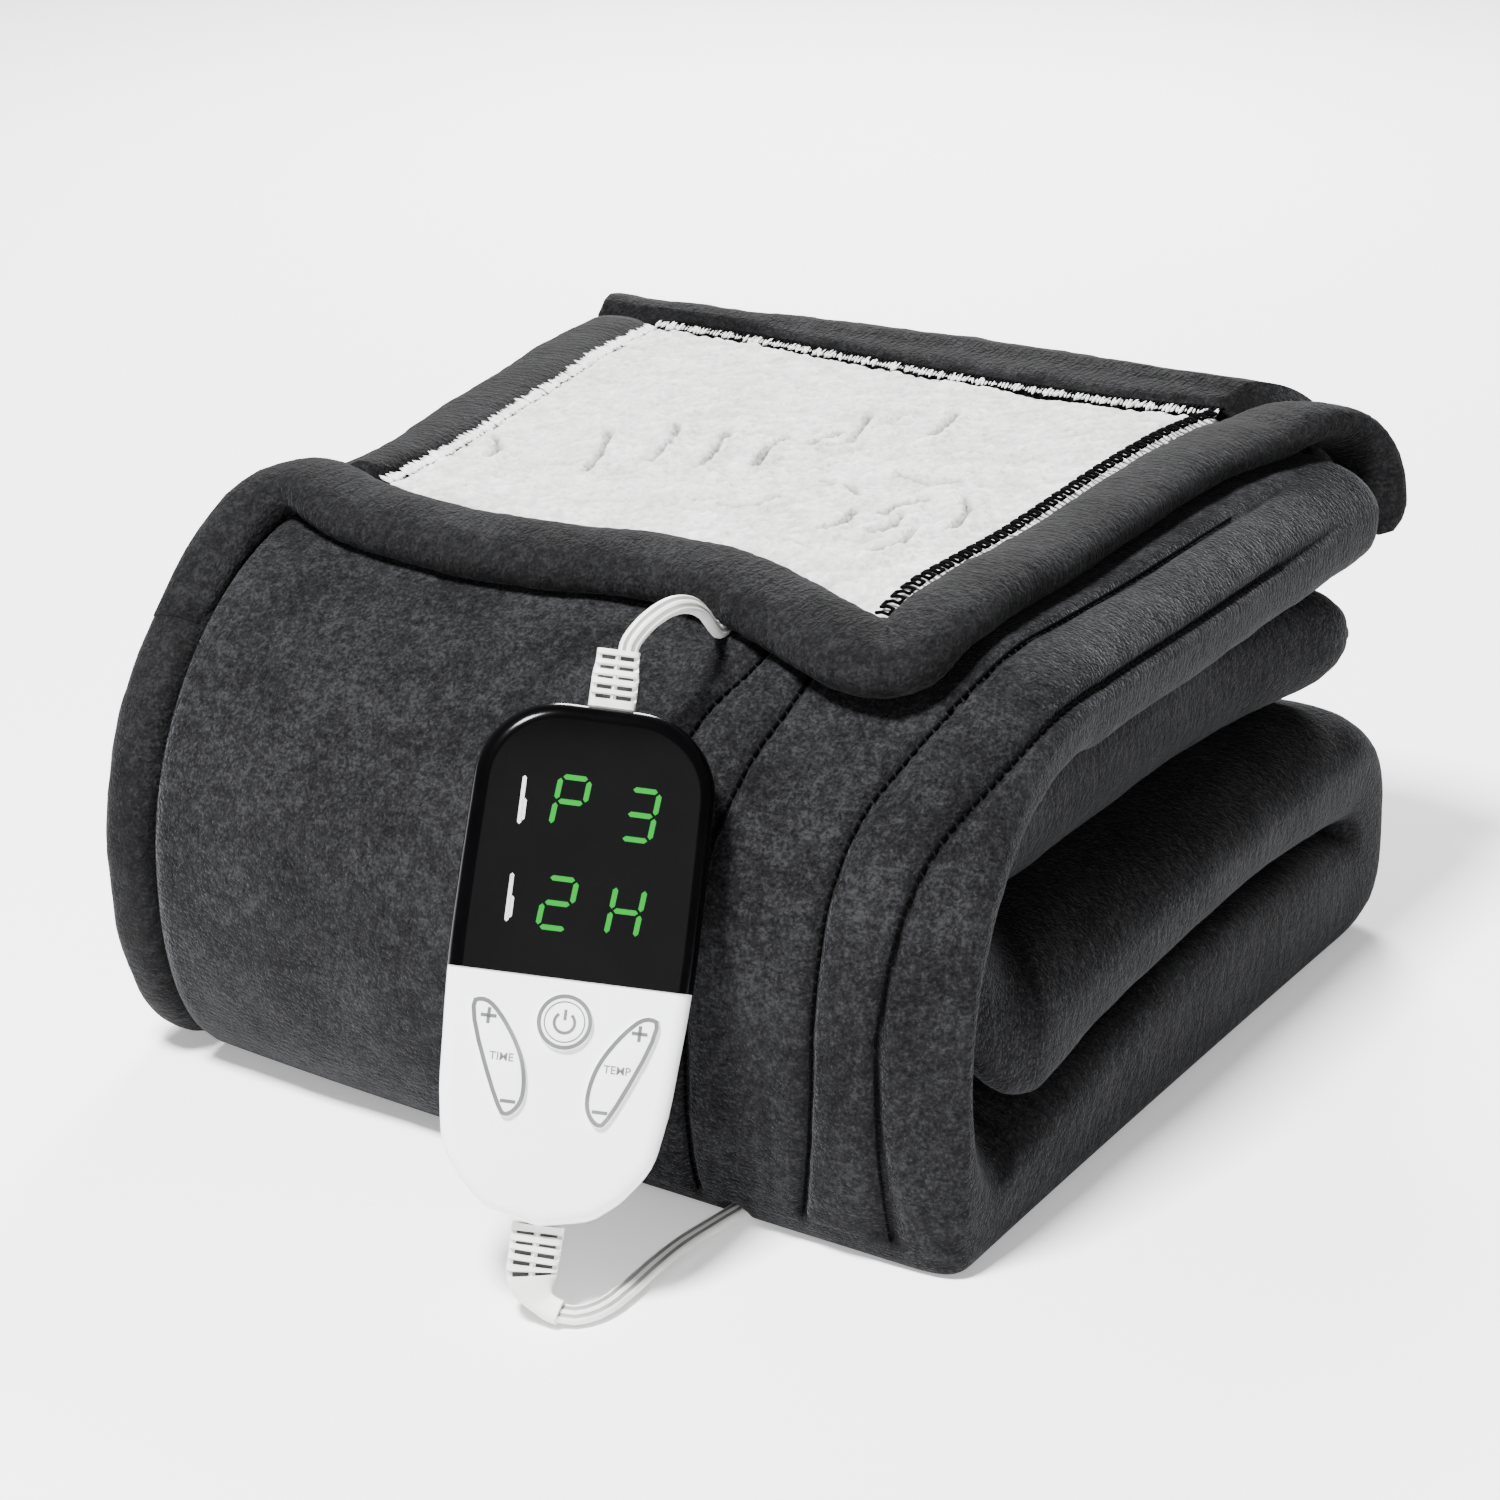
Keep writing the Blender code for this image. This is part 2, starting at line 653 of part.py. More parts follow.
def stack(name, outline, levels, look, centre=(0.0, 0.0)):
    """A body of one outline drawn in at each level: rows of (inset, z)."""
    reach = max(abs(x - centre[0]) for x, _ in outline)
    tall = max(abs(y - centre[1]) for _, y in outline)
    rings = []
    for inset, z in levels:
        kx, ky = 1 - inset / reach, 1 - inset / tall
        rings.append(
            [Vector((centre[0] + (x - centre[0]) * kx, centre[1] + (y - centre[1]) * ky, z)) * MM for x, y in outline]
        )
    return loft(name, rings, look)


def cutter(target, tool):
    tool.hide_render = True
    tool.display_type = "WIRE"
    cut = target.modifiers.new(tool.name, "BOOLEAN")
    cut.operation = "DIFFERENCE"
    cut.object = tool


def disc_outline(radius, centre_y, sides=24):
    return [
        (radius * math.cos(2 * math.pi * i / sides), centre_y + radius * math.sin(2 * math.pi * i / sides))
        for i in range(sides)
    ]


def grown(outline, by):
    """An outline moved outwards, corner by corner."""
    count = len(outline)
    area = sum(outline[i - 1][0] * outline[i][1] - outline[i][0] * outline[i - 1][1] for i in range(count))
    points = []
    for i, (x, y) in enumerate(outline):
        a = Vector((x - outline[i - 1][0], y - outline[i - 1][1])).normalized()
        b = Vector((outline[(i + 1) % count][0] - x, outline[(i + 1) % count][1] - y)).normalized()
        out = Vector((a.y + b.y, -a.x - b.x)).normalized() * math.copysign(by, area)
        spread = max(abs(out.normalized().dot(Vector((a.y, -a.x)))), 0.5)
        points.append((x + out.x / spread, y + out.y / spread))
    return points


def centre_of(outline):
    return tuple(sum(values) / len(outline) for values in zip(*outline))


def put(made, parent, centre=(0.0, 0.0, 0.0)):
    """Sets an object's origin at a point of the controller's frame, and parents it there."""
    offset = Vector(centre) * MM
    made.data.transform(Matrix.Translation(-offset))
    made.parent = parent
    made.location = offset


def controller():
    frame = bpy.data.objects.new("controller_frame", None)
    bpy.context.collection.objects.link(frame)
    frame.matrix_world = case_matrix()
    face = CASE_DEEP / 2
    outline = full_outline(case_outline())
    levels = ((6.0, -face), (2.0, 1.4 - face), (0.0, 5.0 - face), (0.0, face - 4.0), (1.2, face - 1.2), (3.4, face))
    case = stack("controller_case", outline, levels, "white_case", (0.0, 0.0))
    put(case, frame)

    window_half = [(DISPLAY_FOOT, CASE_HALF[7][1])] + [(y, half) for y, half in CASE_HALF if y > 0]
    window = [(half - DISPLAY_RIM, y) for y, half in window_half]
    corner = CASE_CORNER - DISPLAY_RIM
    edge = window[-1][0] - corner
    for degrees in (22, 45, 67, 90):
        a = math.radians(degrees)
        window.append((edge + corner * math.cos(a), CASE_TOP - CASE_CORNER + corner * math.sin(a)))
    window_outline = window + [(-x, y) for x, y in window[::-1]]
    middle = (0.0, 30.0)
    glass = stack("display_window", window_outline, ((0.4, face - 1.6), (0.4, face + 0.3)), "display", middle)
    put(glass, frame)
    recess = stack("display_recess", window_outline, ((0.0, face - 2.0), (0.0, face + 3.0)), "display", middle)
    put(recess, frame)
    cutter(case, recess)

    low = face + KEY_PROUD - KEY_THICK
    key_levels = ((0.0, low), (0.0, face + KEY_PROUD - 0.5), (0.5, face + KEY_PROUD))
    deep = KEY_TRAVEL + 1.6
    centre = (0.0, KEY_Y)
    key = stack("power_key", disc_outline(KEY_RADIUS, KEY_Y), key_levels, "key_white", centre)
    put(key, frame, (0.0, KEY_Y, face))
    well_levels = ((0.0, low - deep), (0.0, face + 3))
    well = stack("power_well", disc_outline(KEY_RADIUS + POCKET, KEY_Y), well_levels, "white_case", centre)
    put(well, frame)
    cutter(case, well)
    for name, side in (("time_rocker", 1), ("temp_rocker", -1)):
        shape = [(x * side, y) for x, y in ROCKER]
        centre = centre_of(shape)
        rocker = stack(name, shape, key_levels, "key_white", centre)
        put(rocker, frame, (*centre, face))
        well = stack(name + "_well", grown(shape, POCKET), well_levels, "white_case", centre)
        put(well, frame)
        cutter(case, well)

    upper = [case_point(RELIEF_UP_SIDE, CASE_TOP + 1.0 + RELIEF_UP_LONG * i / 12, 0) for i in range(13)]
    relief("relief_upper", upper, RELIEF_UP)
    foot = [case_point(0, -71.0, 0), case_point(0, -71.0 - RELIEF_DOWN_LONG, 0)]
    relief("relief_lower", spline_points([foot[0], foot[0].lerp(foot[1], 0.5), foot[1], *RELIEF_BEND], 17), RELIEF_DOWN)
    return frame


# ---- the strain reliefs and the leads ----


def relief(name, path, sizes):
    """A ribbed strain relief, tapered from the case to the lead; its section turns with its path."""
    wide, deep, tip_wide, tip_deep = sizes
    up = (case_point(0, 0, 1) - case_point(0, 0, 0)).normalized()
    rings = []
    for i, point in enumerate(path):
        share = i / (len(path) - 1)
        rib = 1.0 if i % 2 == 0 else 0.88
        along = (path[min(i + 1, len(path) - 1)] - path[max(i - 1, 0)]).normalized()
        up = (up - along * up.dot(along)).normalized()
        side = along.cross(up)
        half_side = mix(wide, tip_wide, share**2) * rib
        half_up = mix(deep, tip_deep, share**2) * rib
        ring = []
        for k in range(12):
            angle = 2 * math.pi * k / 12
            ring.append(place(point + side * (half_side * math.cos(angle)) + up * (half_up * math.sin(angle))))
        rings.append(ring)
    return loft(name, rings, "lead_white")


def spline_points(route, count):
    """Points at even spacing on a smooth curve through a route."""
    route = np.array([tuple(p) for p in route], float)
    lengths = np.concatenate([[0], np.cumsum(np.linalg.norm(np.diff(route, axis=0), axis=1))])
    fine = np.linspace(0, lengths[-1], count * 8)
    dense = np.stack([[smooth_value(list(zip(lengths, route[:, k])), f) for f in fine] for k in range(3)], axis=1)
    along = np.concatenate([[0], np.cumsum(np.linalg.norm(np.diff(dense, axis=0), axis=1))])
    even = np.linspace(0, along[-1], count)
    return [Vector([float(np.interp(e, along, dense[:, k])) for k in range(3)]) for e in even]


def case_point(x, y, z):
    """A point of the controller's frame, in millimetres from the block's corner."""
    return case_matrix() @ (Vector((x, y, z)) * MM) / MM + ORIGIN


def mains_path(count):
    """From the lower relief's tip, along the surface, under the block and out to the coil."""
    coil = (
        COIL_CENTRE[0] + (COIL_MEAN + COIL_THICK + COIL_CLEAR) * math.cos(COIL_TOUCH),
        COIL_CENTRE[1] + (COIL_MEAN + COIL_THICK + COIL_CLEAR) * math.sin(COIL_TOUCH),
        COIL_THICK * 0.6,
    )
    return spline_points([*MAINS_ROUTE, coil], count)


def upper_path(count):
    """From the upper relief's tip, over and back under the flap's front binding."""
    tip = CASE_TOP + 1.0 + RELIEF_UP_LONG
    side = RELIEF_UP_SIDE + LEAD_SIDE
    return spline_points([case_point(side, tip + 1.5, 0), *UPPER_ROUTE], count)


def add_lead(name, path):
    curve = bpy.data.curves.new(name, "CURVE")
    curve.dimensions = "3D"
    curve.bevel_depth = LEAD / 2 * MM
    curve.bevel_resolution = 2
    curve.use_fill_caps = True
    spline = curve.splines.new("POLY")
    spline.points.add(len(path) - 1)
    for point, at in zip(spline.points, path):
        point.co = (*place(at), 1.0)
    curve.materials.append(material("lead_white"))
    made = bpy.data.objects.new(name, curve)
    bpy.context.collection.objects.link(made)
    return made


def tube_mesh(name, path, radius, sides, look):
    """A plain round tube along a path, used as a cutter."""
    rings = []
    for i, point in enumerate(path):
        along = (path[min(i + 1, len(path) - 1)] - path[max(i - 1, 0)]).normalized()
        side = along.cross(Vector((0, 0, 1))).normalized()
        up = side.cross(along)
        ring = []
        for k in range(sides):
            angle = 2 * math.pi * (k + 0.5) / sides
            ring.append(place(point + side * (radius * math.cos(angle)) + up * (radius * math.sin(angle))))
        rings.append(ring)
    return loft(name, rings, look)


def lead_coil():
    rings = []
    for i in range(24):
        turn = 2 * math.pi * i / 24
        ring = []
        for k in range(12):
            angle = 2 * math.pi * k / 12
            r = COIL_MEAN + COIL_THICK * math.cos(angle)
            z = COIL_THICK * (1 + math.sin(angle)) + 0.1
            ring.append(place((COIL_CENTRE[0] + r * math.cos(turn), COIL_CENTRE[1] + r * math.sin(turn), z)))
        rings.append(ring)
    return loft("lead_coil", rings, "lead_white", loop=True)


def box_ring(x, y, z, half_y, half_z, corner):
    """Rounded rectangle of twelve points across the x axis."""
    ring = []
    for sy, sz, turn in ((1, 1, 0), (-1, 1, 90), (-1, -1, 180), (1, -1, 270)):
        for extra in (0, 45, 90):
            a = math.radians(turn + extra)
            cy = y + sy * (half_y - corner) + corner * math.cos(a)
            cz = z + sz * (half_z - corner) + corner * math.sin(a)
            ring.append(place((x, cy, cz)))
    return ring


def mains_plug():
    start = COIL_CENTRE[0] - 26.0
    length, wide, high = PLUG
    tail_end = start + 12.0
    add_lead("lead_tail", [Vector((x, PLUG_Y, PLUG_Z)) for x in np.linspace(COIL_CENTRE[0], tail_end + GAP, 4)])
    rings = []
    for i in range(9):
        share = i / 8
        half = mix(LEAD / 2 + 1.2, 5.6, share) * (1.0 if i % 2 else 0.88)
        rings.append(box_ring(tail_end - 11.6 * share, PLUG_Y, PLUG_Z, half, half, half * 0.7))
    loft("plug_relief", rings, "lead_white")
    shape = ((0.0, 0.62), (3.0, 0.86), (9.0, 1.0), (length - 2.0, 1.0), (length, 0.9))
    rings = [
        box_ring(start - 0.2 - along, PLUG_Y, PLUG_Z, wide / 2 * k, (high / 2 - 0.2) * k, 4.0 * k) for along, k in shape
    ]
    loft("mains_plug", rings, "lead_white")
    tip = start - 0.2 - length - GAP
    for name, side in (("plug_pin_front", -1), ("plug_pin_back", 1)):
        y = PLUG_Y + side * 6.35
        rings = [box_ring(tip - a, y, PLUG_Z, 0.75 * k, 3.15 * k, 0.5) for a, k in ((0, 1), (15.5, 1), (17.5, 0.8))]
        loft(name, rings, "pin_metal")


def main():
    for old in list(bpy.data.objects):
        bpy.data.objects.remove(old, do_unlink=True)
    plush_cloth()
    binding_side()
    sherpa_panel()
    binding_flap()
    binding_left()
    binding_back()
    controller()
    add_lead("lead_mains", mains_path(48))
    add_lead("lead_upper", upper_path(14))
    lead_coil()
    mains_plug()


main()
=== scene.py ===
# %% [markdown]
# # Electric heated blanket
# A plush throw lies folded into a block. Its sherpa lining is turned up on top like an open
# envelope, and the white hand controller leans against the front on its lower strain relief.
# The file dresses the plain solids: it keeps their sizes and adds nap, seams, stitches and finish.

import bisect
import math

import bmesh
import bpy
import numpy as np
from mathutils import Matrix, Vector, noise


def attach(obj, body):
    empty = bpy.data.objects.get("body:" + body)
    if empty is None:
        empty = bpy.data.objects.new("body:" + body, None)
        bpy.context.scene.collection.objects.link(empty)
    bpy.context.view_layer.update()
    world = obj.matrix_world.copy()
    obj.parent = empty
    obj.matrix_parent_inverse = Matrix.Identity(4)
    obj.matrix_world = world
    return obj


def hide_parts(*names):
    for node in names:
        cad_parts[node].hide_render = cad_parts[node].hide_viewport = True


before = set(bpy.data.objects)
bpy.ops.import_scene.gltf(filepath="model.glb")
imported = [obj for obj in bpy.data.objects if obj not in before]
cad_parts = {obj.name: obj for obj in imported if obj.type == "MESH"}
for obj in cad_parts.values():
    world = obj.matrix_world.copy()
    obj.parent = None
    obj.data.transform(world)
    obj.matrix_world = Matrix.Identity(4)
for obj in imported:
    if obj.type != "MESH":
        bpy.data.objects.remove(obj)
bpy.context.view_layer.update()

# %% [markdown]
# ## Millimetres from a corner
# Cloth is easiest to think about in millimetres from the block's front left lower corner. One
# function carries such a point to the scene's metres, so every other number stays readable.

# %% Units
MM = 0.001
ORIGIN = Vector((145.0, 150.0, 0.0))


def place(point):
    return (Vector(point) - ORIGIN) * MM


def mix(a, b, t):
    return a + (b - a) * t


def limit(value, low=0.0, high=1.0):
    return min(max(value, low), high)


def curve_through(rows):
    """A smooth curve through (position, value) rows, as a function of position."""
    keys = [float(row[0]) for row in rows]
    values = [float(row[1]) for row in rows]
    slopes = [float(s) for s in np.gradient(np.array(values), np.array(keys))]

    def value(at):
        at = limit(at, keys[0], keys[-1])
        i = min(bisect.bisect_right(keys, at) - 1, len(keys) - 2)
        step = keys[i + 1] - keys[i]
        t = (at - keys[i]) / step
        start = (2 * t**3 - 3 * t**2 + 1) * values[i] + (t**3 - 2 * t**2 + t) * step * slopes[i]
        return start + (3 * t**2 - 2 * t**3) * values[i + 1] + (t**3 - t**2) * step * slopes[i + 1]

    return value


def rough(point, size, seed=0.0):
    """Soft noise from -1 to 1 with lumps of about this size, in millimetres."""
    return noise.noise(Vector(point) / size + Vector((seed, seed * 0.7, -seed)))


def bell(distance, width):
    """1 at no distance, falling smoothly to 0 within about two widths."""
    return math.exp(-((distance / width) ** 2))


def squarish(angle, power):
    """Cosine and sine, raised to a power with their signs kept: under 1, the circle turns squarish."""
    c, s = math.cos(angle), math.sin(angle)
    return math.copysign(abs(c) ** power, c), math.copysign(abs(s) ** power, s)


# %% [markdown]
# ## Camera, floor and light
# The picture was taken with a long lens from the right and above, so the block shows its front,
# its right side and its top. A pale floor, a white world and three soft lamps light it evenly.

# %% Camera
EYE = Vector((0.6111, -1.0597, 0.5527))
RIGHT = Vector((0.863, 0.505, 0.0))
UP = Vector((-0.182, 0.311, 0.933))
BACK = Vector((0.471, -0.806, 0.36))
lens = bpy.data.cameras.new("camera")
lens.lens, lens.sensor_width, lens.clip_start, lens.clip_end = 100.8, 36.0, 0.01, 50.0
camera = bpy.data.objects.new("camera", lens)
turn = Matrix((RIGHT, UP, BACK)).transposed().to_quaternion().to_matrix().to_4x4()
camera.matrix_world = Matrix.Translation(EYE) @ turn
bpy.context.collection.objects.link(camera)
bpy.context.scene.camera = camera
print("camera", round(EYE.length, 3), "m from the block's middle")


# %% Floor and lamps
def plain_material(name, colour, roughness, **sockets):
    made = bpy.data.materials.new(name)
    made.use_nodes = True
    shader = made.node_tree.nodes["Principled BSDF"]
    shader.inputs["Base Color"].default_value = (*colour, 1.0)
    shader.inputs["Roughness"].default_value = roughness
    for socket, value in sockets.items():
        shader.inputs[socket.replace("_", " ")].default_value = value
    return made


floor_mesh = bpy.data.meshes.new("floor")
work = bmesh.new()
bmesh.ops.create_grid(work, x_segments=1, y_segments=1, size=12.0, matrix=Matrix.Translation((0, 0, -0.0002)))
work.to_mesh(floor_mesh)
work.free()
floor = bpy.data.objects.new("floor", floor_mesh)
floor_mesh.materials.append(plain_material("pale_floor", (0.95, 0.95, 0.95), 0.9,
                                           Emission_Color=(1.0, 1.0, 1.0, 1.0), Emission_Strength=0.42))
bpy.context.collection.objects.link(floor)


def lamp(name, at, aim, size, power):
    data = bpy.data.lights.new(name, "AREA")
    data.shape, data.size, data.energy = "SQUARE", size, power
    made = bpy.data.objects.new(name, data)
    made.location = at
    made.rotation_mode = "QUATERNION"
    made.rotation_quaternion = (Vector(aim) - Vector(at)).to_track_quat("-Z", "Y")
    bpy.context.collection.objects.link(made)


lamp("key_lamp", (-0.1, -0.95, 1.8), (0.0, 0.0, 0.08), 0.4, 178.0)
lamp("top_lamp", (-0.7, 1.4, 1.0), (0.0, 0.05, 0.1), 0.5, 62.0)
lamp("fill_lamp", (1.4, -2.0, 0.9), (0.05, 0.0, 0.08), 1.2, 9.0)
world = bpy.data.worlds.new("studio")
world.use_nodes = True
world.node_tree.nodes["Background"].inputs["Color"].default_value = (1.0, 1.0, 1.0, 1.0)
world.node_tree.nodes["Background"].inputs["Strength"].default_value = 0.26
bpy.context.scene.world = world

# %% [markdown]
# ## Finishes
# Each finish is one node material. Plush is nearly black with a soft sheen, because its fibres
# stand up and catch light at their tips. Small noise in colour and bump gives the mottled nap.
# The patterns read Object coordinates, or the cloth's own UV map where the grain follows it.


# %% Node helpers
def add_node(tree, kind, links=None, **values):
    """A node with its inputs set by name: a number or colour is set, another node's output is linked."""
    made = tree.nodes.new("ShaderNode" + kind)
    for key, value in values.items():
        setattr(made, key, value)
    for socket, value in (links or {}).items():
        target = made.inputs[socket]
        if isinstance(value, bpy.types.NodeSocket):
            tree.links.new(value, target)
        else:
            target.default_value = value
    return made


def noise_on(tree, where, scale, detail=4.0, spread=0.6):
    links = {"Vector": where, "Scale": scale, "Detail": detail, "Roughness": spread}
    return add_node(tree, "TexNoise", links).outputs["Fac"]


def blend(tree, share, first, second):
    return add_node(tree, "Mix", {0: share, 2: first, 3: second}, data_type="FLOAT").outputs[0]


def bump(tree, height, strength, distance, **under):
    links = {"Height": height, "Strength": strength, "Distance": distance, **under}
    return add_node(tree, "Bump", links).outputs["Normal"]


def ramp(tree, factor, stops):
    made = add_node(tree, "ValToRGB", {"Fac": factor})
    elements = made.color_ramp.elements
    while len(elements) < len(stops):
        elements.new(0.5)
    for element, (at, colour) in zip(elements, stops):
        element.position = at
        element.color = (*colour, 1.0)
    return made.outputs["Color"]


def with_painted_shade(tree, colour, deep):
    """A colour that turns to a painted shade where the mesh's own depth attribute is 1."""
    depth = add_node(tree, "Attribute", attribute_name="depth").outputs["Fac"]
    return add_node(tree, "MixRGB", {"Fac": depth, "Color1": colour, "Color2": (*deep, 1.0)}).outputs["Color"]


def inside_of(made):
    """(node tree, shader, Object coordinates) of a material."""
    tree = made.node_tree
    return tree, tree.nodes["Principled BSDF"], add_node(tree, "TexCoord").outputs["Object"]


# %% Napped cloth: plush and its binding
def napped(name, dark, light, sheen, rib):
    """Short-pile cloth: speckled colour, brushed patches, painted shade in the seam grooves, fine bump, knit
    ribs.
    """
    made = plain_material(name, light, 0.88, Sheen_Weight=sheen, Sheen_Roughness=0.3, Specular_IOR_Level=0.12)
    tree, shader, where = inside_of(made)
    shader.inputs["Sheen Tint"].default_value = (0.86, 0.88, 0.94, 1.0)
    nap = blend(tree, 0.45, noise_on(tree, where, 980.0, 2.0), noise_on(tree, where, 330.0, 3.0, 0.65))
    shade = blend(tree, 0.24, nap, noise_on(tree, where, 42.0))
    low = tuple(mix(d, li, 0.28) for d, li in zip(dark, light))
    colour = ramp(tree, shade, ((0.4, dark), (0.5, low), (0.62, light)))
    # Painted shade: the depth attribute darkens the cloth along the stitched seam grooves.
    tree.links.new(with_painted_shade(tree, colour, (0.0008, 0.0008, 0.001)), shader.inputs["Base Color"])
    along = add_node(tree, "UVMap", uv_map="UVMap").outputs["UV"]
    ribs = add_node(tree, "TexWave", {"Vector": along, "Scale": 95.0, "Distortion": 7.0, "Detail": 3.0,
                                      "Detail Scale": 3.0}, bands_direction="Y").outputs["Fac"]
    fine = bump(tree, nap, 0.9, 0.0014)
    tree.links.new(bump(tree, ribs, rib, 0.0006, Normal=fine), shader.inputs["Normal"])
    return made


PLUSH = napped("plush", (0.0003, 0.0003, 0.0004), (0.0195, 0.0197, 0.0217), 0.085, 0.3)
BINDING = napped("binding", (0.0005, 0.0005, 0.0006), (0.012, 0.012, 0.0132), 0.028, 0.35)


# %% Sherpa, thread, moulded plastic and metal
def sherpa_material():
    """White curled pile: a slightly warm painted shade in its hollows, with the curls too small to model in
    its bump.
    """
    made = plain_material("sherpa", (0.9, 0.89, 0.87), 0.95, Sheen_Weight=0.3, Sheen_Roughness=0.5,
                          Specular_IOR_Level=0.1)
    tree, shader, where = inside_of(made)
    cells = add_node(tree, "TexVoronoi", {"Vector": where, "Scale": 520.0}, feature="SMOOTH_F1")
    curls = blend(tree, 0.5, cells.outputs["Distance"], noise_on(tree, where, 900.0, 4.0, 0.7))
    shade = blend(tree, 0.45, curls, noise_on(tree, where, 60.0))
    # The colour follows the bump's curls, so their hollows get painted shade, mixed with a random tone.
    hollow_shade, middle, tip = (0.55, 0.545, 0.535), (0.76, 0.755, 0.745), (0.9, 0.896, 0.89)
    white = ramp(tree, shade, ((0.34, hollow_shade), (0.5, middle), (0.64, tip)))
    tree.links.new(with_painted_shade(tree, white, (0.16, 0.157, 0.15)), shader.inputs["Base Color"])
    tree.links.new(bump(tree, curls, 0.9, 0.002), shader.inputs["Normal"])
    return made


def moulded(name, dark, light, roughness, grain=1800.0, strength=0.05, **sockets):
    """Moulded plastic: slight cloudiness in its colour and a very fine surface grain."""
    made = plain_material(name, light, roughness, **sockets)
    tree, shader, where = inside_of(made)
    cloud = ramp(tree, noise_on(tree, where, 55.0, 3.0), ((0.35, dark), (0.65, light)))
    tree.links.new(cloud, shader.inputs["Base Color"])
    tree.links.new(bump(tree, noise_on(tree, where, grain, 2.0), strength, 0.0003), shader.inputs["Normal"])
    return made


SHERPA = sherpa_material()
THREAD = moulded("black_thread", (0.0006, 0.0006, 0.0007), (0.0016, 0.0016, 0.0018), 0.9, 2600.0, 0.5,
                 Specular_IOR_Level=0.03)
CASE_WHITE = moulded("white_case", (0.90, 0.905, 0.92), (0.93, 0.935, 0.95), 0.24, 1500.0, 0.03,
                     Coat_Weight=0.3, Coat_Roughness=0.08)
KEY_WHITE = moulded("key_white", (0.88, 0.885, 0.90), (0.92, 0.925, 0.94), 0.32, 1500.0, 0.04)
LINE_GREY = moulded("grey_print", (0.07, 0.07, 0.075), (0.12, 0.12, 0.125), 0.5)
GLASS_BLACK = moulded("display_black", (0.0004, 0.0004, 0.0005), (0.0008, 0.0008, 0.001), 0.16, 900.0, 0.01,
                      Specular_IOR_Level=0.1)
# Painted shade for the valleys between a lead's ribs.
LEAD_VALLEY_SHADE = moulded("lead_valley_shade", (0.20, 0.197, 0.19), (0.30, 0.297, 0.29), 0.5, 1300.0, 0.12)
LEAD_WHITE = moulded("lead_white", (0.70, 0.69, 0.67), (0.80, 0.795, 0.78), 0.42, 1300.0, 0.12)
# Painted shadow for the sleeves' slots and the screws' cross recesses.
SLOT_SHADOW = moulded("slot_shadow", (0.03, 0.03, 0.03), (0.06, 0.06, 0.06), 0.8)
MARK_PALE = moulded("pale_mark", (0.3, 0.3, 0.3), (0.6, 0.6, 0.6), 0.4)
PIN_METAL = moulded("pin_metal", (0.62, 0.58, 0.48), (0.78, 0.75, 0.66), 0.28, 2200.0, 0.15, Metallic=1.0)
GLOW = plain_material("display_green", (0.0, 0.12, 0.01), 0.5, Emission_Color=(0.0, 1.0, 0.03, 1.0),
                      Emission_Strength=0.24, Specular_IOR_Level=0.1)
print("finishes:", len(bpy.data.materials))

# %% [markdown]
# ## One way to make cloth, rolls and leads
# A flat grid is bent: each of its points gets a place from a function of its column and row. The
# first and last columns meet, so they are merged, and the two open ends are filled. This gives
# even quads and a UV map along the cloth, which a hand-built shape would not have.


# %% The bent grid
def verts_of(geometry):
    return [g for g in geometry if isinstance(g, bmesh.types.BMVert)]


def finish_mesh(work, name, materials, body="blanket", sharp=None):
    """Makes an object of the mesh, smooth but for edges sharper than an angle, and hangs it on its body."""
    mesh = bpy.data.meshes.new(name)
    work.to_mesh(mesh)
    work.free()
    for material in materials:
        mesh.materials.append(material)
    mesh.shade_smooth()
    if sharp:
        mesh.set_sharp_from_angle(angle=math.radians(sharp))
    made = bpy.data.objects.new(name, mesh)
    bpy.context.collection.objects.link(made)
    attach(made, body)
    return made


def bend_grid(name, across, along, where, materials, size, puff=None, look=None, sharp=None, crease=None):
    """A closed tube: a grid bent by where(column, row) and pushed along its normals by puff(column, row).

    size is that of the UV map, look(column, row) picks a cell's material, and crease(column, row) sets
    the depth attribute, which paints shade into the cloth.
    """
    work = bmesh.new()
    uv = work.loops.layers.uv.new("UVMap")
    bmesh.ops.create_grid(work, x_segments=across, y_segments=along, size=0.5, calc_uvs=True)
    for face in work.faces:
        for loop in face.loops:
            loop[uv].uv = (loop[uv].uv[0] * size[0], loop[uv].uv[1] * size[1])
    depth = work.verts.layers.float.new("depth") if crease else None
    cells = []
    for vert in work.verts:
        i, j = round((vert.co.x + 0.5) * across), round((vert.co.y + 0.5) * along)
        vert.co = place(where(i % across, j))
        if crease:
            vert[depth] = crease(i % across, j)
        cells.append((vert, i % across, j))
    if look:
        for number, face in enumerate(work.faces):
            face.material_index = look(number % across, number // across)
    bmesh.ops.remove_doubles(work, verts=work.verts, dist=2e-6)
    bmesh.ops.holes_fill(work, edges=[e for e in work.edges if e.is_boundary], sides=0)
    bmesh.ops.recalc_face_normals(work, faces=work.faces)
    if puff:
        work.normal_update()
        moved = [(vert, vert.normal * (puff(i, j) * MM)) for vert, i, j in cells if vert.is_valid]
        for vert, by in moved:
            vert.co += by
    return finish_mesh(work, name, materials, sharp=sharp)


# %% [markdown]
# ## The folded strip
# The throw was first folded in four plies into a long strip, and the strip then goes back and
# forth: over the top, round the front, back underneath, round the back, forward, and back again
# inside. Each run or fold is a function that gives the outer and the inner face at one place.

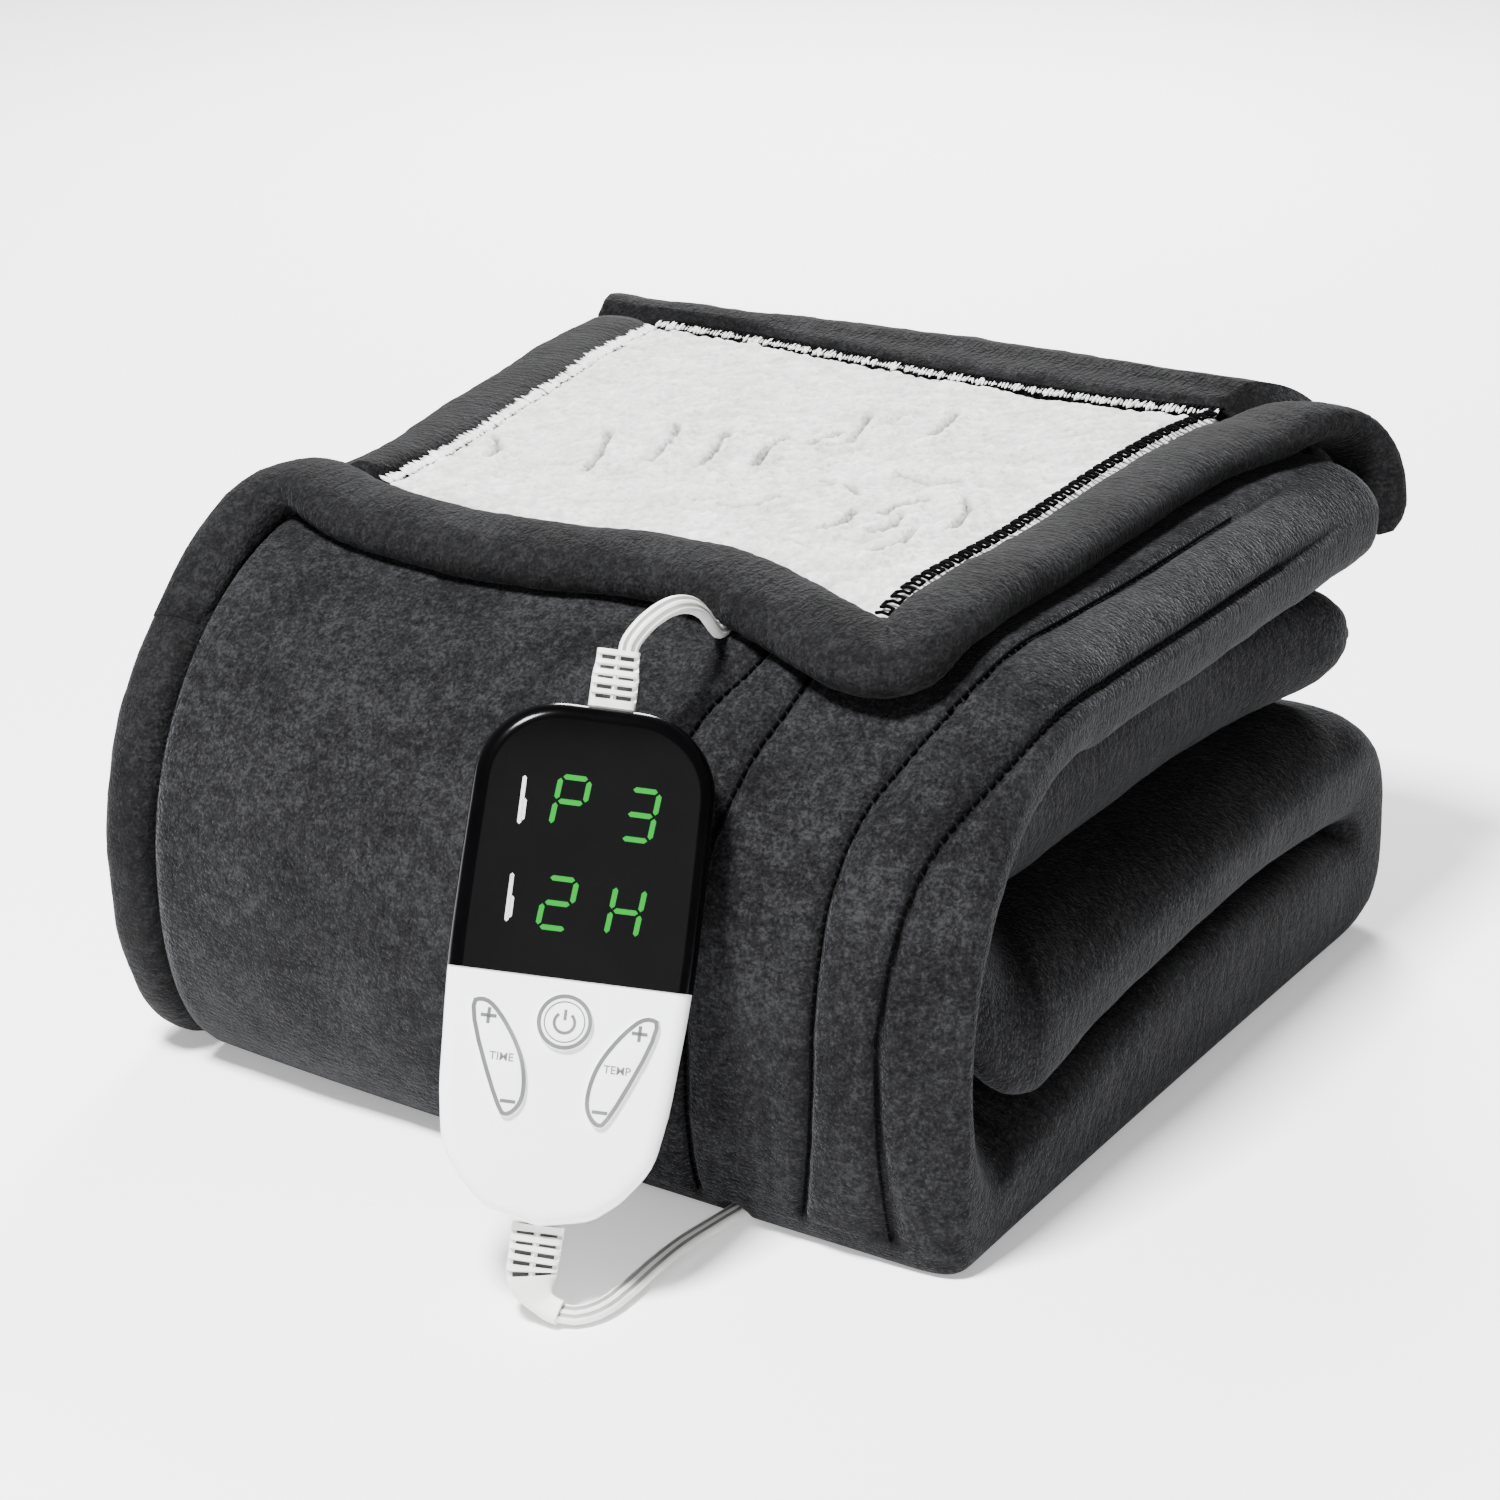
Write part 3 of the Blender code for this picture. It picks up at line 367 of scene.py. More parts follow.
# %% Sizes of the strip
WIDTH, PACK = 290.0, 37.0  # across the strip, and the thickness of its four plies
PLY, PLY_GAP = 0.232, 0.024  # shares of the pack: one ply, and the gap to the next
TOP_Z, TOP_UNDER, NOSE_Z = 162.0, 128.0, 70.0  # the top run's two faces, and the front's furthest height
MIDDLE_Z, INNER_Z, INNER_TOP = 39.0, 79.0, 118.0  # between the lower runs, then the innermost run's two faces
CROWN_Y, BACK_END, END_ROUND = 84.0, 293.0, 17.0  # the top run's two ends, and the rounding of its back end
FOLD_Y, BACK_REACH = 270.0, 38.0  # where the back fold starts, and how far it reaches
FRONT_FOLD_Y, FRONT_REACH, INNER_END = 78.0, 38.0, 292.0  # the inner front fold, and the innermost run's end
FOOT_Y = 45.0  # where the front foot fold turns into the bottom run, on its inner face
SHOULDER_X, RIM, FRONT_SWELL = 262.0, 0.25, 9.0  # where the right rim starts, its thinness, the front's bulge


# %% Its runs and folds
def quarter(t, power=2.0):
    """Cosine and sine of a share of a quarter turn, squarer with a higher power."""
    return squarish(t * math.pi / 2, 2 / power)


def right_ramp(x):
    """0 up to the right shoulder, 1 at the right edge."""
    return limit((x - SHOULDER_X) / (WIDTH - SHOULDER_X))


def middle_seam(x, y):
    """The line between the two lower runs, which arches along the right side."""
    return mix(MIDDLE_Z, max(46.0 - 19.0 * ((y - 185.0) / 150.0) ** 2, 27.0), right_ramp(x))


def swell(x, z):
    """How far the front bulges: most in the middle, at the height of its nose."""
    high = TOP_Z - NOSE_Z if z > NOSE_Z else NOSE_Z
    side_share = max(math.sin(math.pi * limit(x / WIDTH)), 0) ** 0.6
    return FRONT_SWELL * side_share * max(1 - ((z - NOSE_Z) / high) ** 2, 0)


def top_waves(x, y):
    """Slow waves of the top, none at the crown, and its fall towards the left edge."""
    fade = limit((y - CROWN_Y) / 50)
    fall = 2.0 * max(1 - 2 * x / WIDTH, 0) ** 4
    return fade * 1.1 * math.sin(y / 29 + x / 70) * math.sin(x / 52 + 0.6) - fall


def end_squeeze(distance):
    """The share of its thickness that a run keeps at a distance from its rounded end."""
    if distance >= END_ROUND:
        return 1.0
    return max(math.sqrt(max(1 - (1 - distance / END_ROUND) ** 2, 0)), 0.25)


def round_corner(x, keep):
    """Draws the right edge in where a run's end keeps less of its thickness."""
    return x - max(x - SHOULDER_X, 0) * 0.55 * (1 - keep)


def top_run(t, x):
    y = mix(BACK_END, CROWN_Y, t**1.8)
    keep = end_squeeze(BACK_END - y)
    outer = TOP_Z + top_waves(x, y)
    middle = (outer + TOP_UNDER) / 2
    return round_corner(x, keep), (y, mix(middle, outer, keep)), (y, mix(middle, TOP_UNDER, keep))


def rimmed(outer, inner, share, x):
    """The front's inner face, pulled towards the outer one at the right rim, and both moved by the swell."""
    inner = tuple(mix(o, i, share) for o, i in zip(outer, inner))
    out = swell(x, outer[1])
    return x, (outer[0] - out, outer[1]), (inner[0] - out, inner[1])


def crown_fold(t, x):
    c, s = quarter(t)
    outer = (CROWN_Y * (1 - s), NOSE_Z + (TOP_Z - NOSE_Z) * c + top_waves(x, CROWN_Y) * c)
    inner = (CROWN_Y - (CROWN_Y - PACK) * s, NOSE_Z + (TOP_UNDER - NOSE_Z) * c)
    return rimmed(outer, inner, 1 - (1 - RIM) * right_ramp(x) * t, x)


def foot_size(x):
    """Depth of the front foot fold's curve, which is tighter on the right."""
    return 40.0 - 33.0 * x / WIDTH


def foot_fold(t, x):
    c, s = quarter(t, 2.2 + 2.3 * x / WIDTH)
    outer = (foot_size(x) * (1 - c), NOSE_Z * (1 - s))
    inner = (FOOT_Y - 8.0 * c, mix(NOSE_Z, middle_seam(x, FOOT_Y) - 1, s))
    return rimmed(outer, inner, 1 - (1 - RIM) * right_ramp(x) * (1 - t), x)


def bottom_run(t, x):
    y = mix(FOOT_Y, FOLD_Y, t)
    return x, (mix(foot_size(x), FOLD_Y, t), 0.0), (y, middle_seam(x, y) - 1)


def back_fold(t, x):
    seam = middle_seam(x, FOLD_Y)
    c, s = quarter(abs(2 * t - 1), 3.2 if t < 0.5 else 2.2)
    high = -seam if t < 0.5 else INNER_Z - 1 - seam
    return x, (FOLD_Y + BACK_REACH * c, seam + high * s), (FOLD_Y + c, seam + (-1 if t < 0.5 else 1) * s)


def forward(x):
    """How much further forward the inner front fold lies at the right edge."""
    return 28.0 * right_ramp(x)


def middle_run(t, x):
    y = mix(FOLD_Y, FRONT_FOLD_Y - forward(x), t)
    return x, (y, INNER_Z - 1), (y, middle_seam(x, y) + 1)


def inner_shift(x, t):
    """How far the innermost run is drawn in from the right edge."""
    back = 1.0 if t < 0.4 else 1 - 0.95 * ((t - 0.4) / 0.6) ** 1.3
    return 24.0 * limit((x - 215.0) / 75.0) * back


def front_fold(t, x):
    c, s = quarter(abs(2 * t - 1))
    centre = FRONT_FOLD_Y - forward(x)
    edge = middle_seam(x, centre) + 1 if t < 0.5 else INNER_TOP
    sign = -1 if t < 0.5 else 1
    shift = inner_shift(x, 0) * t
    return x - shift, (centre - c, INNER_Z + sign * s), (centre - FRONT_REACH * c, mix(INNER_Z, edge, s))


def inner_run(t, x):
    y = mix(FRONT_FOLD_Y - forward(x), INNER_END, 1 - (1 - t) ** 1.8)
    keep = end_squeeze(INNER_END - y)
    low = INNER_Z + 1
    middle = (low + INNER_TOP) / 2
    lift = 5.0 * math.sin(math.pi * min(t * 1.1, 1)) * (1 - right_ramp(x))
    across = round_corner(x, keep) - inner_shift(x, t)
    return across, (y, mix(middle, low, keep)), (y, mix(middle, INNER_TOP + lift, keep))


# %% [markdown]
# A section point has a place across the strip and a depth through its thickness. The rows of the
# grid are spaced evenly along each run or fold, and closer on those that show.


# %% From the strip to space
def shoulder_power(stretch, t):
    """How square the right shoulder is: round at the front and on top, square on the floor."""
    powers = {foot_fold: mix(2.0, 6.0, t), bottom_run: 6.0, back_fold: mix(6.0, 2.0, t)}
    return powers.get(stretch, 2.0)


def square_corner(x, depth, power):
    """Moves a point of the round right shoulder out towards a square corner."""
    if x <= SHOULDER_X or depth >= 0.5:
        return x, depth
    reach = WIDTH - SHOULDER_X
    c, s = (x - SHOULDER_X) / reach, 1 - 2 * depth
    size = math.hypot(c, s)
    return SHOULDER_X + size * reach * (c / size) ** (2 / power), 0.5 - size * 0.5 * (s / size) ** (2 / power)


def strip_point(stretch, t, x, depth):
    """(across, back, height) of a section point at a share of a run or fold."""
    x, depth = square_corner(x, depth, shoulder_power(stretch, t))
    across, outer, inner = stretch(t, x)
    return across, mix(outer[0], inner[0], depth), mix(outer[1], inner[1], depth)


STRETCHES = (top_run, crown_fold, foot_fold, bottom_run, back_fold, middle_run, front_fold, inner_run)
MEASURE_X = 150.0


def steps_along(stretch, shares, depth):
    """Lengths of the steps between shares of a run or fold, at MEASURE_X across and one depth."""
    line = np.array([strip_point(stretch, t, MEASURE_X, depth)[1:] for t in shares])
    return np.linalg.norm(np.diff(line, axis=0), axis=1)


def even_stations(pitches):
    """(run or fold, share, its number + share) at even steps along the path, a pitch for each stretch."""
    found = []
    shares = np.linspace(0, 1, 400)
    for number, (stretch, pitch) in enumerate(zip(STRETCHES, pitches)):
        steps = steps_along(stretch, shares, 0.5 if stretch in (back_fold, front_fold) else 0.0)
        steps += steps_along(stretch, shares, 1.0 if stretch is front_fold else 0.0)
        length = np.concatenate([[0], np.cumsum(steps / 2)])
        count = max(round(length[-1] / pitch), 2)
        for at in np.linspace(0, length[-1], count, endpoint=False):
            t = float(np.interp(at, length, shares))
            found.append((stretch, t, number + t))
    return found + [(STRETCHES[-1], 1.0, len(STRETCHES))]


STATIONS = even_stations((2.6, 2.2, 2.2, 9.0, 4.0, 5.0, 3.2, 5.0))
print("rows along the strip:", len(STATIONS))

# %% [markdown]
# ## The channels of the heating wire
# The wire runs between two rows of stitching, sewn through all the layers. The rows pull the
# cloth in, so each is a narrow groove with puffed cloth beside it. They run along the strip, and
# their place across it is a smooth curve of the distance travelled.

# %% Rows of channel stitches
CHANNELS = [
    curve_through(rows)
    for rows in (
        ((0, 293.5), (0.89, 293), (1.16, 291.5), (1.41, 284.5), (1.65, 272), (1.88, 267.5), (2.05, 265.3),
         (2.3, 264.5), (3, 262), (4, 262)),
        ((0, 272), (0.8, 270), (1.0, 267.8), (1.3, 262.6), (1.43, 257), (1.58, 249.8), (1.75, 246.8),
         (1.89, 246.6), (2.05, 245.7), (2.25, 243.5), (2.7, 238.6), (3, 237), (4, 237)),
        ((0, 217), (1.2, 218), (1.38, 215.7), (1.49, 212.4), (1.57, 210.7), (1.67, 209), (2.0, 207),
         (3, 205), (4, 205)),
        ((0, 201), (1.2, 201), (1.32, 198.6), (1.42, 193), (1.52, 190), (2.0, 188), (3, 186), (4, 186)),
    )
]
GROOVE_DEEP, GROOVE_HALF, SEAM_HALF = 2.3, 1.5, 1.05


def channel_relief(along, across):
    """Depth of the grooves and height of the puffs at a place on the strip."""
    if along > 4.2:
        return 0.0
    places = [row(along) for row in CHANNELS]
    cut = sum(bell(across - at, GROOVE_HALF) for at in places)
    puff = 0.0
    for right, left in (places[:2], places[2:]):
        share = (across - left) / (right - left)
        if 0 < share < 1:
            puff += 1.3 * math.sin(math.pi * share) ** 0.7
        puff += 0.5 * bell(across - right - 6, 4) + 0.5 * bell(across - left + 6, 4)
    return (puff - GROOVE_DEEP * min(cut, 1.0)) * limit((along - 0.3) / 0.4)


def channel_seam(along, across):
    """1 on a row of channel stitches, falling to 0 within two millimetres."""
    if not 0.45 < along < 3.2:
        return 0.0
    return min(sum(bell(across - row(along), SEAM_HALF) for row in CHANNELS), 1.0)


# %% Section of the four plies
def arc(centre_x, depth, reach, half, start, end, steps, power=2.0):
    """Points of an arc between two angles in degrees, without its ends."""
    points = []
    for i in range(1, steps):
        c, s = squarish(math.radians(mix(start, end, i / steps)), 2 / power)
        points.append((centre_x + reach * c, depth + half * s))
    return points


FACE_COLUMNS, RIM_COLUMNS, RETURN_COLUMNS = 170, 26, 18  # of the outer face, and of the two halves of its rim


def ply_section():
    """One cloth folded back and forth: the outer ply wraps round the right edge and returns innermost."""
    tops = [i * (PLY + PLY_GAP) for i in range(4)]
    feet = [top + PLY for top in tops]
    fine = [float(x) for x in np.linspace(25.0, SHOULDER_X, FACE_COLUMNS)]
    columns = [float(x) for x in np.linspace(40.0, 240.0, 6)]
    back = columns[::-1]
    left, inside = 16.0, 250.0
    line = [(21.0, 0.02)] + [(x, 0.0) for x in fine]
    line += arc(SHOULDER_X, 0.5, WIDTH - SHOULDER_X, 0.5, -90, 0, RIM_COLUMNS) + [(WIDTH, 0.5)]
    line += arc(SHOULDER_X, 0.5, WIDTH - SHOULDER_X, 0.5, 0, 90, RETURN_COLUMNS, 3.6)
    line += [(x, feet[3]) for x in (SHOULDER_X, *back, left)]
    line += arc(left, (tops[2] + 1) / 2, 13.0, (1 - tops[2]) / 2, 90, 270, 10)
    line += [(x, tops[2]) for x in (left, *columns, inside)]
    line += arc(inside, tops[2] - PLY_GAP / 2, 1.0, PLY_GAP / 2, 90, -90, 2)
    line += [(x, feet[1]) for x in (inside, *back, 25.0)] + [(21.5, (tops[1] + feet[1]) / 2)]
    line += [(x, tops[1]) for x in (25.0, *columns, inside)]
    line += arc(inside, (tops[1] + feet[2]) / 2, 10.0, (feet[2] - tops[1]) / 2, -90, 90, 6)
    line += [(x, feet[2]) for x in (inside, *back, left)]
    line += arc(left, feet[2] + PLY_GAP / 2, 1.0, PLY_GAP / 2, 270, 90, 2)
    line += [(x, tops[3]) for x in (left, *columns, SHOULDER_X)]
    line += arc(SHOULDER_X, 0.5, 12.0, 0.5 - PLY, 90, -90, 10)
    line += [(x, feet[0]) for x in (SHOULDER_X, *back, 25.0)] + [(21.0, feet[0] - 0.02), (19.5, PLY / 2)]
    return line


SECTION = ply_section()
RIM_END = 1 + FACE_COLUMNS + RIM_COLUMNS  # the column after the rim's edge
OUTER = RIM_END + RETURN_COLUMNS  # columns on the outside, up to the inner face
ACROSS = [p[0] for p in SECTION]
for column in range(FACE_COLUMNS + 2, RIM_END):
    before, here = SECTION[column - 1], SECTION[column]
    ACROSS[column] = ACROSS[column - 1] + math.hypot(here[0] - before[0], (here[1] - before[1]) * PACK)
print("columns round the section:", len(SECTION))

# %% [markdown]
# The mains lead runs under the block in a shallow groove of its own, so that the cloth rests on
# the floor and not on the lead. The underside is lifted over it, and nothing passes through.

# %% Route of the mains lead
MAINS_ROUTE = (
    (205.9, -71.1, 3.9), (208.9, -70.0, 3.3), (211.9, -66.6, 3.0), (213.9, -61.0, 3.0), (214.3, -52.0, 3.0),
    (213.6, -36.0, 3.0), (213.6, -20.0, 3.0), (215.2, -5.0, 3.0), (217.6, 14.0, 3.0), (219.0, 80.0, 3.0),
    (214.0, 170.0, 3.0), (206.0, 260.0, 3.0), (203.5, 315.0, 3.1),
)
lead_x = curve_through([(y, x) for x, y, _ in MAINS_ROUTE[4:]])
LEAD_ROOM = 4.5


def over_lead(point):
    """Lifts a point of the underside that would touch the lead over it."""
    x, y, z = point
    side = abs(x - lead_x(y))
    if z < 9 and side < LEAD_ROOM:
        return x, y, max(z, 3.0 + math.sqrt(LEAD_ROOM**2 - side**2))
    return point


# %% The plush cloth
def cloth_wave(point):
    """Soft waves of the outer cloth, which its stitches follow."""
    return 0.55 * rough(point, 34) + 0.3 * rough(point, 13, 3.0)


def plush_place(i, j):
    stretch, t, _ = STATIONS[j]
    x, depth = SECTION[i]
    point = strip_point(stretch, t, x, depth)
    return over_lead(point) if stretch in (foot_fold, bottom_run) and i < OUTER else point


def plush_puff(i, j):
    """Waves and small dents of the outer faces, and the channels of the wire."""
    stretch, t, along = STATIONS[j]
    x, depth = SECTION[i]
    point = strip_point(stretch, t, x, depth)
    if i > OUTER + 12 or point[2] < 9 or not 3 <= j <= len(STATIONS) - 4:
        return 0.0
    shown = limit((x - 24) / 14)
    wave = cloth_wave(point) + 0.16 * rough(point, 5.5, 7.0)
    return shown * (wave + (channel_relief(along, ACROSS[i]) if i < RIM_END else 0.0))


# Painted shade along the channel seams, carried in the depth attribute.
def plush_groove_shade(i, j):
    return channel_seam(STATIONS[j][2], ACROSS[i]) if i < RIM_END else 0.0


plush = bend_grid("plush", len(SECTION), len(STATIONS) - 1, plush_place, [PLUSH], (0.9, 1.32), plush_puff,
                  crease=plush_groove_shade)
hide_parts("plush_cloth")
print("plush faces:", len(plush.data.polygons))

# %% [markdown]
# ## The rolled bindings
# The edges of the throw are bound with a wide strip of plush rolled round them. Each is a bent
# grid with a squarish round section. Noise along it gives the soft lumps of the padding inside,
# and short wrinkles cross it where the seam gathers the cloth.


# %% Binding along the strip's left edge
def lumps(point, big=0.5, small=0.22):
    """Soft lumps of padding, in three sizes."""
    return big * rough(point, 17, 11.0) + small * rough(point, 6, 5.0) + 0.12 * rough(point, 3, 2.0)


SIDE_ROUND = 40
SIDE_ROWS = even_stations((3.0, 2.6, 2.6, 6.0, 4.0, 5.0, 4.0, 5.0))


def side_place(i, j):
    stretch, t, _ = SIDE_ROWS[j]
    c, s = squarish(2 * math.pi * i / SIDE_ROUND, 0.8)
    rise = 0.055 * {crown_fold: t, foot_fold: 1 - t}.get(stretch, 0.0)
    depth = 0.225 + (0.215 if s > 0 else 0.215 + rise) * s
    return strip_point(stretch, t, 7.5 + 10.5 * c, depth)


def side_puff(i, j):
    point = side_place(i, j)
    return lumps(point) if point[2] >= 3 and 3 <= j <= len(SIDE_ROWS) - 4 else 0.0


side_binding = bend_grid("side_binding", SIDE_ROUND, len(SIDE_ROWS) - 1, side_place, [BINDING], (0.06, 1.32),
                         side_puff)
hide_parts("binding_side")

# %% [markdown]
# ## The flap's edges
# The flap lies on the strip's top and follows it. Its edges are read from the picture as curves:
# how far back the front edge lies at each place, and how far right or left the side edges lie.

# %% Edges of the flap
BIND_WIDE, BIND_HIGH, CORNER_LIFT = 12.5, 7.5, 3.5
front_edge = curve_through(((12, 87.5), (28, 76.5), (50, 67.5), (82, 62.5), (116, 62.5), (150, 65.5),
                            (172, 64.5), (194, 58.5), (218, 48.5), (246.5, 38.5)))
right_edge = curve_through(((38.5, 246.5), (60, 248.5), (100, 249.5), (170, 248.5), (215, 248.5), (245, 250),
                            (276, 255)))
left_edge = curve_through(((92, 34), (128, 30), (160, 26), (195, 22), (247, 13), (284, 9)))
back_edge = curve_through(((0, 279), (60, 277), (110, 271), (150, 266), (200, 266), (240, 274)))


def top_height(x, y):
    """Height of the strip's outer face under the flap."""
    if y >= CROWN_Y:
        return TOP_Z + top_waves(x, y)
    c = math.sqrt(max(1 - ((CROWN_Y - y) / CROWN_Y) ** 2, 0))
    return NOSE_Z + (TOP_Z - NOSE_Z) * c + top_waves(x, CROWN_Y) * c


def top_normal(x, y):
    slope_x = (top_height(x + 2, y) - top_height(x - 2, y)) / 4
    slope_y = (top_height(x, y + 2) - top_height(x, y - 2)) / 4
    return Vector((-slope_x, -slope_y, 1)).normalized()


def slope_factor(edge, at):
    """How much further an edge's width reaches along an axis where the edge runs at a slant."""
    return math.hypot(1, (edge(at + 1) - edge(at - 1)) / 2)


def right_half(y):
    """Half the width of the roll on the right, which spreads towards the back."""
    return mix(BIND_WIDE, 15.0, limit((y - 205) / 65) ** 1.5)


# %% The roll round the flap's front, corner and right edge
END_Z = (TOP_Z + TOP_UNDER) / 2
CURL_END = math.radians(112)
CURL_WIDE, CURL_THIN = 15.5, 9.0  # half widths of the roll where it starts over the back, and at its end


def hood_point(angle, reach_y, reach_z, power=2.8):
    """(y, height) of a point round the back end of the top run."""
    c, s = squarish(angle, 2 / power)
    return BACK_END - END_ROUND + reach_y * abs(s), END_Z + reach_z * c


def curl_point(share, reach):
    """A point of the roll's line where it curls over the back end, at a reach from the end's middle."""
    y, z = hood_point(CURL_END * share, reach + 1.5, reach)
    return Vector((mix(256.0, 284.0, share**0.8), y, z))


# (x, y, rise, half width, half height) of the roll's start, where it comes up round the left front.
ROLL_START = ((8.0, 30.0, -4.5, 9.0, 5.0), (8.0, 42.0, -2.5, 9.8, 6.0), (8.2, 54.0, 0.0, 10.4, 6.5),
              (9.0, 66.0, 2.8, 10.8, 7.0), (12.0, 75.0, 5.0, 11.3, 7.3), (18.5, 78.5, 6.6, 11.8, 7.5))


def flap_line():
    """(point, up, half width, half height) along the roll, from the left front to the back of the hood."""
    rows = []
    for x, y, rise, wide, high in ROLL_START:
        rows.append((Vector((x, y, top_height(x, y) + rise)), top_normal(x, y), wide, high))
    for i in range(4, 61):
        x = mix(12.0, 236.0, i / 60)
        y = front_edge(x)
        sag = 2.0 * limit((x - 20) / 30) * limit((190 - x) / 60)
        lift = CORNER_LIFT * limit((x - 200) / 36) + 0.9 - sag
        point = Vector((x, y, top_height(x, y) + BIND_HIGH + lift))
        rows.append((point, top_normal(x, y), BIND_WIDE, BIND_HIGH))
    for i in range(57):
        y = mix(41.0, 268.0, i / 56)
        x = right_edge(y)
        high = mix(BIND_HIGH, 6.0, i / 56)
        up = top_normal(x, y) if y > 60 else Vector((0, -0.25, 1)).normalized()
        lift = CORNER_LIFT * limit((75 - y) / 34) + 0.8
        rows.append((Vector((x, y, top_height(x, y) + high + lift)), up, right_half(y), high))
    for i in range(1, 29):
        share = i / 28
        up = (curl_point(share, 30.0) - curl_point(share, 10.0)).normalized()
        close = math.sqrt(1 - max((share - 0.78) / 0.23, 0) ** 2)
        wide = mix(CURL_WIDE, CURL_THIN, share) * close
        rows.append((curl_point(share, END_ROUND + 9.0), up, wide, 6.0 * close))
    return rows


def smoothed(rows, passes):
    """The same line with its bends softened, its ends kept."""
    for _ in range(passes):
        threes = zip(rows, rows[1:], rows[2:])
        middle = [tuple(b * 0.5 + (a + c) * 0.25 for a, b, c in zip(*three)) for three in threes]
        rows = [rows[0], *middle, rows[-1]]
    return rows


def denser(rows):
    """The same line with a row more between each two."""
    middles = [tuple((a + b) / 2 for a, b in zip(*pair)) for pair in zip(rows, rows[1:])]
    return [row for pair in zip(rows, middles) for row in pair] + [rows[-1]]


def band_places(rows, sides):
    """Points of a roll: a squarish ring across the line at each row."""
    rings = []
    for j, (point, up, wide, high) in enumerate(rows):
        along = rows[min(j + 1, len(rows) - 1)][0] - rows[max(j - 1, 0)][0]
        side = along.cross(up).normalized()
        top = side.cross(along).normalized()
        ring = []
        for i in range(sides):
            c, s = squarish(2 * math.pi * i / sides, 0.85)
            ring.append(tuple(point + side * (wide * c) + top * (high * s)))
        rings.append(ring)
    return rings


def roll(name, rows, sides, size, big=0.55):
    """A padded roll along a line, with short gathers across it."""
    rings = band_places(rows, sides)
    last = len(rings) - 1

    def puff(i, j):
        point = rings[j][i]
        gather = 0.22 * rough((j * 1.7, i * 0.35, 0), 1.6, 9.0)
        return 0.0 if j < 2 or j > last - 2 else lumps(point, big) + gather

    return bend_grid(name, sides, last, lambda i, j: rings[j][i], [BINDING], size, puff)


flap_rows = smoothed(denser(smoothed(flap_line(), 1)), 1)
flap_roll = roll("flap_roll", flap_rows, 44, (0.065, 0.6))
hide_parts("binding_flap")
print("rows along the flap's roll:", len(flap_rows))


# %% The thin roll on the left and the wide band round the back
def left_line():
    """The same kind of rows along the flap's left edge, thin at the front."""
    rows = []
    for i in range(57):
        y = mix(90.5, 277.0, i / 56)
        x = left_edge(y)
        wide = mix(6.0, BIND_WIDE, min(i * 3 / 56, 1))
        rows.append((Vector((x, y, top_height(x, y) + 6.4)), top_normal(x, y), wide, 5.5))
    return rows


left_roll = roll("left_roll", left_line(), 32, (0.055, 0.19), big=0.4)
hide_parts("binding_left")

HOOD_THICK, BACK_COLUMNS = 10.5, 96
BACK_TURNS = [-1.0] + [float(a) for a in np.linspace(0, 104, 27)]  # the seam, then degrees round the end


def back_place(i, j):
    """A bent sheet over the back end: down its lining and back along its skin."""
    rows = len(BACK_TURNS)
    skin = i >= rows
    turn_at = BACK_TURNS[2 * rows - 1 - i if skin else i]
    angle = math.radians(max(turn_at, 0))
    share = angle / CURL_END
    x = mix(-1.0, curl_point(share, 0).x - (mix(CURL_WIDE, CURL_THIN, share) + 1.2) * 1.3, j / BACK_COLUMNS)
    if skin:
        fuller = 2.4 * limit((x - 20) / 120)
        y, z = hood_point(angle, END_ROUND + 21.0 + fuller, END_ROUND + 14.5 + 1.3 * fuller)
    else:
        y, z = hood_point(angle, END_ROUND + 1.5, END_ROUND + 1.5, 2.0)
    seam = back_edge(x)
    if turn_at < 0:
        y = seam + 1.4
        z = top_height(x, y) + 1.0 + (HOOD_THICK * 0.9 if skin else 0.0)
    elif turn_at < 12:
        ease = turn_at / 12
        y = max(y, seam + 5.0)
        z = mix(top_height(x, y) + 1.0 + (HOOD_THICK * 1.25 if skin else 0.0), z, ease**2)
    return x, y, z


def back_puff(i, j):
    point = back_place(i, j)
    return lumps(point, 0.7, 0.3) if i > len(BACK_TURNS) + 1 and 2 < j < BACK_COLUMNS - 2 else 0.0


back_band = bend_grid("back_band", 2 * len(BACK_TURNS), BACK_COLUMNS, back_place, [BINDING], (0.15, 0.26),
                      back_puff)
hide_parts("binding_back")

# %% [markdown]
# ## The sherpa lining
# Sherpa is a long white pile that has curled into tufts. The panel is a fine grid: cell noise
# raises one lump for each tuft, softer noise bends the rows, and the rim dips behind the rolls.
# The finest curls, of two millimetres and less, are left to the bump of its material.


# %% Panel of the lining
PANEL_WIDE, PANEL_DEEP, PANEL_RISE = 205, 195, 9.6
PANEL_COLUMNS, PANEL_ROWS, EDGE_GAP = 236, 226, 0.8


def flap_corner(u, v):
    """A point of the panel, u from left to right and v from front to back."""
    x, y = mix(30, 236, u), mix(80, 275, v)
    reach = BIND_WIDE + EDGE_GAP
    for _ in range(6):
        low = front_edge(x) + reach * slope_factor(front_edge, x)
        left = left_edge(y) + reach * slope_factor(left_edge, y)
        right = right_edge(y) - (right_half(y) + EDGE_GAP) * slope_factor(right_edge, y)
        y, x = mix(low, back_edge(x), v), mix(left, right, u)
    return x, y


def split(point):
    """0 in the narrow valleys between cells of noise, 1 on their tops."""
    near, _ = noise.voronoi(point)
    return limit((near[1] - near[0]) * 2.4)


